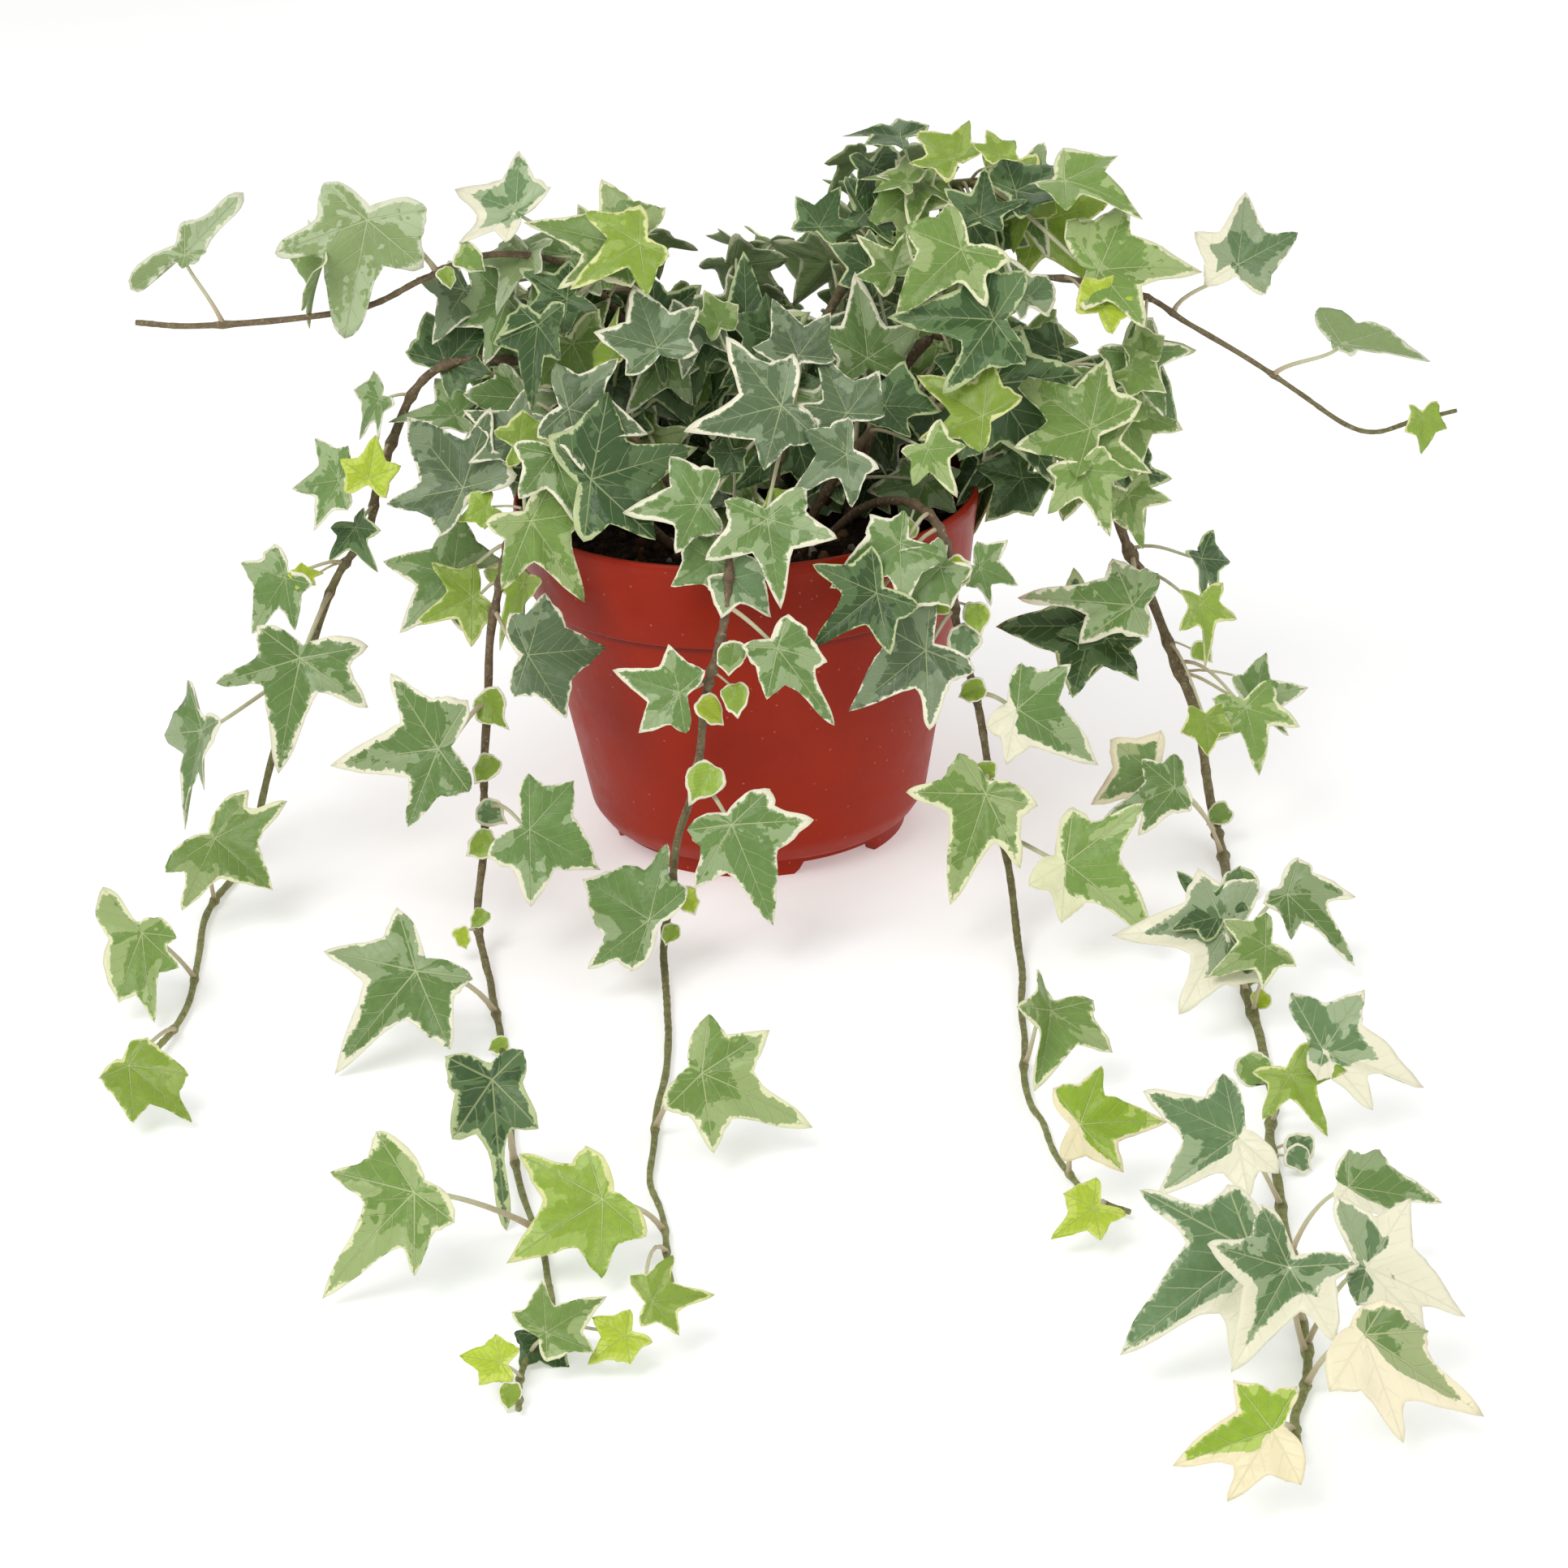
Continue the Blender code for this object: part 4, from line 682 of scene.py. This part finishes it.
def ivy_leaf_finish(name):
    """Variegated leaf: the distance to the rim plus a ragged noise is compared with the cream margin and,
    further in, with a band of pale green that is wide in some wedges and narrow in others; veins run from
    the stalk along the lobes and branch off slantwise; the underside is paler and duller."""
    f = Finish(name, 0.5, 0.35)
    rim, creamy, under = f.value("rim"), f.value("creamy"), f.value("under")

    # cream margin
    ragged = f.calc("SUBTRACT", f.noise(f.place, 330.0, 5.0, 0.68), 0.5)
    coarse = f.calc("SUBTRACT", f.noise(f.place, 120.0, 3.0, 0.6), 0.5)
    depth = f.calc("MULTIPLY_ADD", ragged, 0.12, rim)
    depth = f.calc("MULTIPLY_ADD", coarse, 0.10, depth)
    past_margin = f.calc("SUBTRACT", f.calc("SUBTRACT", depth, creamy), MARGIN_WIDTH)
    cream = f.step(past_margin, -0.005, 0.005, 1.0, 0.0)

    # pale band, its width drawn from a noise over directions that is bent a little by place
    drift = f.noise(f.place, 170.0, output="Color")
    bends = ((0, drift), (1, (0.9, 0.9, 0.9)), (2, f.value("wedge", "Vector")))
    wedge = f.noise(f.node("VectorMath", 0, bends, operation="MULTIPLY_ADD"), 1.0, 1.0)
    centred = f.calc("ADD", wedge, f.calc("MULTIPLY", f.value("patchy"), 0.12))
    wide = f.step(f.calc("SUBTRACT", centred, PALE_THRESHOLD), 0.0, 0.05, 0.012, 0.17)
    inner = f.calc("SUBTRACT", f.calc("MULTIPLY_ADD", ragged, 0.09, past_margin), wide)
    pale = f.step(inner, -0.008, 0.008, 0.92, 0.0)

    mottle = f.calc("MULTIPLY_ADD", f.noise(f.place, 60.0, 3.0), 0.5, 0.45)
    mottle = f.calc("MULTIPLY_ADD", f.noise(f.place, 420.0, 5.0, 0.7), 0.6, mottle)
    deep = f.mix(1.0, f.value("tone", "Color"), f.step(mottle, 0.7, 1.3, 0.74, 1.22), "MULTIPLY")

    # veins: a tapering one along each lobe, and slanting ones off it that fade before the rim
    veins = f.node("UVMap", "UV", uv_map="veins")
    along = f.node("SeparateXYZ", "X", ((0, veins),))
    aside = f.calc("ABSOLUTE", f.node("SeparateXYZ", "Y", ((0, veins),)))
    width = f.calc("MULTIPLY_ADD", along, -0.006, 0.007)
    main = f.step(f.calc("SUBTRACT", aside, width), -0.003, 0.006, 1.0, 0.0)
    slant = f.calc("MULTIPLY_ADD", aside, -1.15, along)
    slant = f.calc("MULTIPLY_ADD", f.noise(f.place, 160.0, 1.0), 0.05, slant)
    off_line = f.calc("ABSOLUTE", f.calc("SUBTRACT", f.calc("FRACT", f.calc("MULTIPLY", slant, 6.0)), 0.5))
    side = f.calc("MULTIPLY", f.step(off_line, 0.02, 0.06, 1.0, 0.0), f.step(aside, 0.02, 0.26, 0.62, 0.2))
    side = f.calc("MULTIPLY", side, f.step(rim, 0.01, 0.06, 0.0, 1.0))
    vein = f.calc("MAXIMUM", main, side)

    whole = f.mix(pale, deep, f.value("pale", "Color"))
    whole = f.mix(cream, whole, f.value("trim", "Color"))
    lit_vein = f.mix(0.5, f.value("pale", "Color"), shade(206, 218, 160))
    whole = f.mix(f.calc("MULTIPLY", vein, f.step(cream, 0.0, 1.0, 0.8, 0.12)), whole, lit_vein)
    f.set("Base Color", f.mix(f.calc("MULTIPLY", under, 0.6), whole, UNDERSIDE))
    f.set("Roughness", f.step(under, 0.0, 1.0, 0.36, 0.68))
    grain = f.calc("MULTIPLY_ADD", f.noise(f.place, 900.0), 0.25, f.noise(f.place, 260.0))
    groove = f.calc("MULTIPLY", vein, f.step(cream, 0.0, 1.0, 0.9, 0.3))
    f.bump(f.calc("SUBTRACT", grain, groove), 0.0007, 0.6)
    return f.material


def stem_finish(name):
    """Ivy stem: the colour carried by the skin, streaked along its length, with small dark and pale
    flecks."""
    f = Finish(name, 0.62, 0.3)
    streak = f.noise(f.place, 420.0, 4.0, 0.65)
    whole = f.mix(f.step(streak, 0.35, 0.70, 0.0, 0.8), f.value("bark", "Color"), shade(74, 58, 44))
    whole = f.mix(f.step(f.noise(f.place, 900.0), 0.60, 0.70, 0.0, 0.5), whole, shade(186, 176, 146))
    f.set("Base Color", f.mix(f.value("fresh"), whole, f.value("bark", "Color")))
    f.bump(f.noise(f.place, 700.0, 4.0, 0.7), 0.0006, 0.7)
    return f.material


def pot_finish(name):
    """Thin moulded plastic, brick red: faint clouding, fine scratches, pale dust specks and a satin
    skin. The inner wall is darkened, partly painted shade of the pot's hollow and partly soil stain."""
    f = Finish(name, 0.42, 0.22)
    cloud = f.noise(f.place, 22.0, 4.0, 0.6)
    whole = f.mix(f.step(cloud, 0.3, 0.72), shade(148, 34, 6), shade(166, 44, 12))
    streaks = f.noise(f.stretched((160.0, 160.0, 14.0)), 1.0, 4.0, 0.7)
    whole = f.mix(f.step(streaks, 0.55, 0.80, 0.0, 0.35), whole, shade(134, 32, 16))
    specks = f.node("TexVoronoi", "Distance", (("Vector", f.place), ("Scale", 210.0)))
    whole = f.mix(f.step(specks, 0.05, 0.09, 0.5, 0.0), whole, shade(206, 128, 108))
    # inner wall above the soil darkened to near black brown: partly painted shade of the pot's hollow, partly
    # soil stain
    inner_shade_and_soil_stain = f.step(f.value("inside"), 0.0, 1.0, 0.0, 0.72)
    f.set("Base Color", f.mix(inner_shade_and_soil_stain, whole, shade(52, 24, 18)))
    f.set("Roughness", f.step(f.noise(f.place, 90.0, 5.0, 0.7), 0.3, 0.75, 0.36, 0.56))
    f.bump(f.calc("MULTIPLY_ADD", streaks, 0.6, f.noise(f.place, 1300.0)), 0.00012, 0.5)
    return f.material


def soil_finish(name):
    """Damp peat: near black with brown fibres and grains."""
    f = Finish(name, 0.95, 0.15)
    grains = f.noise(f.place, 380.0, 6.0, 0.75)
    whole = f.mix(f.step(grains, 0.42, 0.66), shade(22, 17, 14), shade(64, 48, 37))
    fibres = f.noise(f.stretched((900.0, 220.0, 500.0)), 1.0, 3.0, 0.6)
    whole = f.mix(f.step(fibres, 0.62, 0.70, 0.0, 0.7), whole, shade(104, 76, 52))
    f.set("Base Color", f.mix(f.value("lump"), whole, f.value("crumb", "Color")))
    f.bump(grains, 0.0015, 1.0)
    return f.material


def floor_finish(name):
    """White sweep with a little light of its own, as a lit studio table has."""
    f = Finish(name, 0.85, 0.1)
    cloud = f.step(f.noise(f.place, 3.0, 3.0), 0.3, 0.7)
    f.set("Base Color", f.mix(cloud, shade(240, 240, 239), shade(244, 244, 243)))
    f.set("Emission Color", (1.0, 1.0, 1.0))
    f.set("Emission Strength", FLOOR_GLOW)
    return f.material




leaf_blade = ivy_leaf_finish("variegated ivy leaf")
stem_bark = stem_finish("ivy stem")
pot_plastic = pot_finish("brick red moulded plastic")
peat = soil_finish("damp peat")

# ---- pot and soil ----------------------------------------------------------------------------------------
POT_SIDES = 180
NOTCH_CENTRES = (-58.3, 31.7, 121.7, 211.7)
NOTCH_WIDTH, NOTCH_HEIGHT = 35.0, 4.0
FOOT_INNER, FOOT_OUTER = 44.0, 48.0
# section of the pot from the foot's centre round to the floor's centre: (radius, height, rounding)
POT_PROFILE = [
    (0, 0, 0), (12.0, 0, 0.4), (12.0, 4.5, 0.3), (44.0, 4.5, 0.3), (44.0, 0, 0.5), (48.0, 0, 0.5),
    (48.0, 5.4, 0.6), (51.5, 6.8, 1.6), (55.4, 12.5, 2.4), (55.9, 15.2, 0.3), (68.7, 84.0, 1.2),
    (69.4, 87.3, 0.5), (71.6, 88.0, 0.5), (74.2, 108.0, 1.0), (74.6, 110.6, 0.4), (75.0, 112.4, 0.5),
    (75.0, 114.6, 0.6), (74.4, 116.0, 0.5), (73.2, 116.0, 0.5), (72.6, 114.0, 1.0), (70.1, 89.5, 1.0),
    (67.2, 84.0, 1.0), (53.9, 13.0, 2.0), (46.0, 7.0, 1.0), (0, 7.0, 0),
]


def rounded(profile, steps=4):
    """Profile with every corner replaced by a quadratic arc that starts and ends its own rounding away."""
    p, rounds = np.asarray(profile, float)[:, :2], np.asarray(profile, float)[:, 2:]
    before, after = np.roll(p, 1, 0) - p, np.roll(p, -1, 0) - p
    before[0] = after[-1] = (0.001, 0)
    lengths = [np.linalg.norm(v, axis=1)[:, None] for v in (before, after)]
    a, c = (p + v / n * np.minimum(rounds, 0.45 * n)
            for v, n in zip((before, after), lengths))
    t = np.linspace(0, 1, steps)[None, :, None]
    arc = a[:, None] * (1 - t) ** 2 + p[:, None] * 2 * t * (1 - t) + c[:, None] * t * t
    inside = arc[1:-1].reshape(-1, 2)
    return np.vstack([p[:1], inside, p[-1:]])


def turned(profile, sides, lift=None):
    """Solid of revolution: point(i, k) = (r_i cos a_k, r_i sin a_k, z_i + lift). First and last points lie
    on the axis and close the shape as poles."""
    r, z = np.asarray(profile, float).T
    a = TURN * np.arange(sides) / sides
    rr, aa = np.meshgrid(r[1:-1], a, indexing="ij")
    zz = np.repeat(z[1:-1, None], sides, 1)
    if lift is not None:
        zz = lift(rr, aa, zz)
    ring = np.stack([rr * np.cos(aa), rr * np.sin(aa), zz], -1).reshape(-1, 3)
    quads, tris = skin_faces(len(r) - 2, sides)
    points = np.vstack([ring, [0, 0, z[0]], [0, 0, z[-1]]]) * MM
    return {"points": points, "quads": quads, "tris": tris}


def foot_notches(r, a, z):
    """Lifts the foot ring's underside in the notches, with steep smooth ends."""
    centres = np.radians(NOTCH_CENTRES)
    off = np.abs((a[..., None] - centres + np.pi) % TURN - np.pi).min(-1)
    open_share = np.clip((math.radians(NOTCH_WIDTH / 2) - off) / math.radians(1.2) + 0.5, 0, 1)
    on_foot = (r > FOOT_INNER - 1.0) & (r < FOOT_OUTER + 0.5) & (z < NOTCH_HEIGHT)
    return np.where(on_foot, z + (NOTCH_HEIGHT - z) * open_share, z)


pot_shape = turned(rounded(POT_PROFILE), POT_SIDES, foot_notches)
pot_radius = np.hypot(pot_shape["points"][:, 0], pot_shape["points"][:, 1]) / MM
pot_height = pot_shape["points"][:, 2] / MM
outer_wall = np.interp(pot_height, [0, 12.5, 84, 88, 116], [48, 55.4, 68.7, 71.6, 75.0])
# mask of the inner wall, which the pot finish darkens as painted shade of the hollow and soil stain
pot_shape["inside"] = np.clip((outer_wall - pot_radius - 0.9) / 0.8, 0, 1) * (pot_height > 6.9)
make_piece("nursery_pot", pot_shape, pot_plastic, "pot_plastic", "pot")

SOIL_RADIUS, SOIL_LEVEL = 70.5, 101.4
SOIL_WALL = [(0, 7.4), (44.0, 7.4), (53.1, 13.4), (66.6, 83.8), (69.5, 89.6), (SOIL_RADIUS, 99.2)]
SOIL_RINGS, SOIL_SIDES = 46, 150


def soil_height(r, a):
    """Top of the soil: a low dome with broad swells and short clods, in mm."""
    x, y = r * np.cos(a), r * np.sin(a)
    swell = (0.7 * np.sin(x / 9.0 + 1.0) * np.sin(y / 11.0)
             + 0.5 * np.sin((x + y) / 5.3) * np.cos((x - y) / 6.1))
    clods = 0.35 * np.sin(x * 1.3 + 2 * np.sin(y * 0.9)) * np.sin(y * 1.5 + 1.5 * np.sin(x * 1.1))
    return SOIL_LEVEL + 0.6 * np.cos(np.clip(r / SOIL_RADIUS, 0, 1) * np.pi / 2) + swell + clods


def soil_lift(r, a, z):
    """The top follows soil_height, a little lower where it meets the wall; the wall stays as drawn."""
    return np.where(z > 100, soil_height(r, a) - 1.2 * (r > SOIL_RADIUS - 1.0), z)


soil_top = [(r, 101.0) for r in np.linspace(SOIL_RADIUS, 0, SOIL_RINGS)]
soil_shape = turned(SOIL_WALL + soil_top, SOIL_SIDES, soil_lift)
soil_shape["points"][-1, 2] = soil_height(0.0, 0.0) * MM
soil_shape["lump"] = np.zeros(len(soil_shape["points"]))
soil_shape["crumb"] = np.zeros((len(soil_shape["points"]), 3))
make_piece("potting_soil", soil_shape, peat, "soil", "soil")


def crumbs(count, seed):
    """Lumps on the soil: one small rounded block of 3 rings and 6 sides, scaled, turned and dented for
    each."""
    chance = np.random.default_rng(seed)
    r = 67.0 * np.sqrt(chance.uniform(0, 1, count))
    a = chance.uniform(0, TURN, count)
    centre = np.stack([r * np.cos(a), r * np.sin(a), soil_height(r, a)], -1)
    size = chance.uniform(0.7, 2.4, count)[:, None] * chance.uniform(0.6, 1.3, (count, 3))
    base = turned([(0, -1), (0.72, -0.7), (1.0, 0.0), (0.72, 0.7), (0, 1)], 6)
    unit = base["points"] / MM
    bumpy = unit[None] * (1 + chance.normal(0, 0.14, (count, len(unit), 1)))
    turn = chance.uniform(0, TURN, count)
    c, s = np.cos(turn)[:, None], np.sin(turn)[:, None]
    local = bumpy * size[:, None]
    x, y = local[..., 0] * c - local[..., 1] * s, local[..., 0] * s + local[..., 1] * c
    points = (np.stack([x, y, local[..., 2]], -1) + centre[:, None]) * MM
    starts = (np.arange(count) * len(unit))[:, None, None]
    kinds = np.array([shade(40, 30, 24), shade(74, 52, 38), shade(112, 84, 58), shade(150, 140, 124)])
    tint = kinds[chance.choice(4, count, p=[0.50, 0.32, 0.14, 0.04])]
    return {"points": points.reshape(-1, 3), "quads": (base["quads"][None] + starts).reshape(-1, 4),
            "tris": (base["tris"][None] + starts).reshape(-1, 3), "lump": np.full(count * len(unit), 0.75),
            "crumb": np.repeat(tint, len(unit), 0)}


make_piece("soil_crumbs", crumbs(620, 11), peat, "soil")

# ---- leaves ----------------------------------------------------------------------------------------------
FOLDS = {"leaf_34": 0.75, "leaf_25": 0.6, "leaf_40": 0.5, "leaf_04": 0.4, "leaf_39": 0.12}
DROOPS = {"leaf_12": 0.22, "leaf_41": 0.05}
DEFAULT_FOLD, DEFAULT_DROOP = 0.22, 0.10
FLOOR_GAP = 0.0002  # metres
CROWN_SCALE, BUD_SCALE = 1.1, 1.25
STEM_SIDES, STALK_SIDES = 12, 8
STALK_FLOOR = 0.9  # lowest a stalk's middle line runs over the surface
FAR_FROM_STEM, STALK_SETBACK = 5.0, 0.45  # a leaf this far off has its stalk set back by this share of the gap
FIRST_STALK_STEP = 3  # stalks leave a stem no nearer to its root than this step
STALK_TINTS = [shade(190, 170, 140), shade(208, 204, 170), shade(206, 216, 168)]
BARK_TINTS = [shade(110, 90, 70), shade(130, 114, 88), shade(128, 130, 84), shade(146, 152, 94)]
# how far a stem stays brown wood towards its tip, and its thickness as a share of the table's
WOODY = {"runner_6": 0.95, "runner_7": 0.75}
RUNNER_WOODY, SHOOT_WOODY = 0.15, 0.45
SLIMMER = {"runner_5": 0.88, "runner_6": 0.78, "runner_7": 0.80}
DEFAULT_SLIMMER = 0.92

# leaves deep in the crown: stems, count, lowest and highest corner, range of turn, range of lift, tones; the
# tones lean to the dark d, painted shade of the crown's interior
SHOOTS = ("shoot_1", "shoot_2", "shoot_3", "shoot_4", "shoot_5")
FILLERS = [
    (SHOOTS, 60, (-74, -6, 110), (80, 34, 180), (-45, 45), (15, 50), "dmdbdgdm"),
    (("shoot_2",), 12, (40, 12, 186), (104, 36, 218), (-40, 50), (20, 70), "dgdml"),
    (("shoot_1", "shoot_4"), 12, (-92, 2, 146), (-36, 28, 194), (-60, 30), (20, 55), "mgdbu"),
    (("shoot_5",), 12, (78, -12, 112), (126, 14, 168), (-20, 50), (20, 50), "dgdm"),
    (("shoot_6", "shoot_7", "shoot_8"), 46, (-84, 34, 112), (88, 84, 172), (110, 250), (20, 60), "mdgbdmg"),
    (("shoot_2",), 10, (26, 22, 165), (92, 48, 198), (130, 230), (30, 65), "mdgl"),
    (("shoot_1",), 6, (-66, 20, 148), (-22, 44, 172), (130, 230), (30, 65), "mdgl"),
]

stem_lines = {name: smooth_curve(points, 10) for name, (_, _, points) in STEMS.items()}
blades, stalks = {name: [] for name in STEMS}, {name: [] for name in STEMS}
nodes_on = {name: [] for name in STEMS}


def bark(share, woody):
    """Stem colour: brown wood that greens towards the tip."""
    last = len(BARK_TINTS) - 1
    return blend(np.clip(share * (1.35 - woody), 0, 1) * last, range(last + 1), BARK_TINTS)


def nearest_stem(place):
    return min(STEMS, key=lambda s: np.linalg.norm(stem_lines[s] - place, axis=1).min())


def stalk_root(line, place):
    """Step of the stem where a leaf's stalk leaves it: the nearest one, or further back for a leaf that
    stands well away from the stem."""
    away = np.linalg.norm(line - place, axis=1)
    near = int(away.argmin())
    back = near
    if away[near] > FAR_FROM_STEM and near:
        behind = np.linalg.norm(line[:near + 1] - line[near], axis=1)
        back = int(np.argmin(np.abs(behind - STALK_SETBACK * away[near])))
    return max(back, FIRST_STALK_STEP)


def grow(rows):
    """Adds every leaf's blade to its stem's list, or makes it a piece of its own, and runs its stalk."""
    for number, (name, stem, x, y, z, length, turn, lift, spin, tone, side, style) in enumerate(rows):
        place = np.array([x, y, z], float)
        stem = stem or nearest_stem(place)
        fold, droop = FOLDS.get(name, DEFAULT_FOLD), DROOPS.get(name, DEFAULT_DROOP)
        row = (x, y, z, length, turn, lift, spin, tone, side, style, fold, droop, bool(name))
        shape = leaf_shape(row, number)
        up, tip, _ = leaf_axes(turn, lift, spin)
        if name:
            low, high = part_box(name)
            own = (shape["points"].min(0) + shape["points"].max(0)) / 2
            shift = (np.array(low) + np.array(high)) / 2 - own
            shape["points"] += shift
            place += shift / MM
        shape["points"][:, 2] = np.maximum(shape["points"][:, 2], FLOOR_GAP)
        if name:
            make_piece(name + "_blade", joined([shape]), leaf_blade, "leaf", name)
        else:
            blades[stem].append(shape)
        root = stalk_root(stem_lines[stem], place)
        nodes_on[stem].append(root)
        curve = stalk_curve(stem_lines[stem][root], place - up * 0.2, up, tip, number)
        curve[:, 2] = np.maximum(curve[:, 2], STALK_FLOOR)
        share = np.linspace(0, 1, len(curve))
        thick = np.interp(length, [4, 14, 40], [0.35, 0.5, 0.8])
        radius = thick * (1.15 - 0.35 * share + 0.35 * np.exp(-(share / 0.08) ** 2)
                          + 0.25 * np.exp(-((share - 1) / 0.06) ** 2))
        tint = blend(share, [0, 0.45, 1], STALK_TINTS)
        stalks[stem].append(tube(curve * MM, radius * MM, STALK_SIDES, bark=tint, fresh=0.85))


def rows_of_leaves():
    """Every leaf as name, stem, place, length, aim, tone, cream side and outline."""
    number = 0
    for stem, rows in LARGE_LEAVES:
        for x, y, z, length, turn, lift, spin, tone, *side in rows:
            number += 1
            name = "leaf_%02d" % number
            yield (name, stem, x, y, z, length, turn, lift, spin, tone, side[0] if side else None,
                   name if name in LOBES else "five")
    for stem, rows in JOINED_LEAVES:
        scale = CROWN_SCALE if stem.startswith("shoot") else 1.0
        for x, y, z, length, turn, lift, spin, tone, *more in rows:
            side, style = more + [None, "five"][len(more):]
            yield None, stem, x, y, z, length * scale, turn, lift, spin, tone, side, style
    for stem, style, rows in SMALL_LEAVES:
        scale = BUD_SCALE if style == "bud" else 1.0
        for x, y, z, length, turn, lift, spin, tone in rows:
            yield None, stem, x, y, z, length * scale, turn, lift, spin, tone, None, style
    for number, (stem, count, cx, cy, cz, reach, first, step) in enumerate(FAR_SIDE):
        for i in range(count):
            turn = first + step * (i * 3 % count) * 0.5
            a = math.radians(turn)
            ring = reach * (0.55 + 0.45 * math.sin(1.7 * i + 0.4))
            yield (None, stem, cx + ring * math.sin(a) * 1.1, cy - ring * math.cos(a),
                   cz + 24 * math.sin(2.3 * i + 1.1), 22 + 5 * math.sin(1.3 * i), turn,
                   32 + 14 * math.cos(1.9 * i), 40 * math.sin(2.9 * i), "mdgbm"[(i + number) % 5], None,
                   "five")


def filler_rows():
    """Leaves deep in the crown: each patch of the crown gets its count, one to a cell of an even lattice
    along x and z, moved about inside the cell, with the depth and aim drawn evenly."""
    for number, (stems, count, low, high, turn_range, lift_range, tones) in enumerate(FILLERS):
        chance = np.random.default_rng(300 + number)
        low, high = np.array(low, float), np.array(high, float)
        wide = max(1, round(math.sqrt(count * (high[0] - low[0]) / (high[2] - low[2]))))
        for i in range(count):
            cell = np.array([(i % wide + chance.uniform()) / wide, chance.uniform(),
                             (i // wide + chance.uniform()) / math.ceil(count / wide)])
            x, y, z = low + (high - low) * cell
            stem = min(stems, key=lambda s: np.linalg.norm(stem_lines[s] - (x, y, z), axis=1).min())
            yield (None, stem, x, y, z, chance.uniform(20, 28), chance.uniform(*turn_range),
                   chance.uniform(*lift_range), chance.normal(0, 55), tones[i % len(tones)], None, "five")


grow([*rows_of_leaves(), *filler_rows()])

for name, (root, end, points) in STEMS.items():
    line = stem_lines[name].copy()
    steps = np.concatenate([[0], np.cumsum(np.linalg.norm(np.diff(line, axis=0), axis=1))])
    share = steps / steps[-1]
    chance = np.random.default_rng(40 + len(name) + len(points))
    knots = steps[np.array(nodes_on[name], int)] if nodes_on[name] else np.zeros(0)
    swell = 0.45 * np.exp(-((steps[:, None] - knots[None]) / 1.3) ** 2).max(1) if len(knots) else 0
    rough = (0.06 * np.sin(steps * 1.9 + chance.uniform(0, 6))
             + 0.05 * np.sin(steps * 4.3 + chance.uniform(0, 6)))
    radius = (root + (end - root) * share) * (1 + swell + rough) * SLIMMER.get(name, DEFAULT_SLIMMER)
    sway = (0.35 * np.sin(steps / 7.0 + chance.uniform(0, 6)) * np.clip(steps / 20, 0, 1))[:, None]
    line[:, :1] += sway
    line[:, 2] = np.maximum(line[:, 2], radius + 0.05)
    woody = WOODY.get(name, RUNNER_WOODY if name.startswith("runner") else SHOOT_WOODY)
    skin = tube(line * MM, radius * MM, STEM_SIDES, bark=bark(share, woody), fresh=0.25 * share)
    make_piece(name + "_stem", joined([skin] + stalks[name]), stem_bark, "stem", name)
    if blades[name]:
        slot = "leaf" if name.startswith("runner") else "crown_leaf"
        make_piece(name + "_leaves", joined(blades[name]), leaf_blade, slot, name)

# ---- floor, light and camera -----------------------------------------------------------------------------
FLOOR_HALF = 9.0
SKY_STRENGTH = 0.58
floor_mesh = bpy.data.meshes.new("floor")
floor_mesh.from_pydata([(x, y, 0.0) for x, y in ((-1, -1), (1, -1), (1, 1), (-1, 1))], [], [(0, 1, 2, 3)])
floor_mesh.transform(Matrix.Scale(FLOOR_HALF, 4))
floor_mesh.materials.append(floor_finish("pale floor"))
floor = bpy.data.objects.new("floor", floor_mesh)
bpy.context.scene.collection.objects.link(floor)

world = bpy.data.worlds.new("soft light")
world.use_nodes = True
sky = world.node_tree.nodes["Background"].inputs
sky["Color"].default_value = (1.0, 1.0, 1.0, 1.0)
sky["Strength"].default_value = SKY_STRENGTH
bpy.context.scene.world = world
bpy.context.scene.view_settings.view_transform = "Standard"


def aim(place, target, roll=0.0):
    """Matrix at place whose -z looks at the target, with +x level and then turned by roll."""
    forward = np.subtract(target, place)
    forward /= np.linalg.norm(forward)
    right = np.cross(forward, (0, 0, 1))
    right /= np.linalg.norm(right)
    above = np.cross(right, forward)
    c, s = math.cos(roll), math.sin(roll)
    columns = [right * c + above * s, above * c - right * s, -forward, place]
    return Matrix([[columns[j][i] for j in range(4)] for i in range(3)] + [[0, 0, 0, 1]])


for label, place, size, power in (("key light", (-0.7, -1.1, 1.5), 0.9, 13.5),
                                  ("fill light", (1.1, -0.9, 1.0), 1.2, 3.5),
                                  ("back light", (0.2, 1.2, 1.3), 1.0, 3.0)):
    lamp = bpy.data.lights.new(label, "AREA")
    lamp.size = size
    lamp.energy = power
    light = bpy.data.objects.new(label, lamp)
    light.matrix_world = aim(place, (0.0, -0.08, 0.08))
    bpy.context.scene.collection.objects.link(light)

CAMERA_PLACE = (0.0, -1.2, 0.526)
YAW, PITCH, ROLL = math.radians(0.39), math.radians(-23.2), math.radians(-2.5)
look = (math.sin(YAW) * math.cos(PITCH), math.cos(YAW) * math.cos(PITCH), math.sin(PITCH))
lens = bpy.data.cameras.new("camera")
lens.sensor_width, lens.lens = 36.0, 90.2
camera = bpy.data.objects.new("camera", lens)
camera.matrix_world = aim(CAMERA_PLACE, np.add(CAMERA_PLACE, look), ROLL)
bpy.context.scene.collection.objects.link(camera)
bpy.context.scene.camera = camera
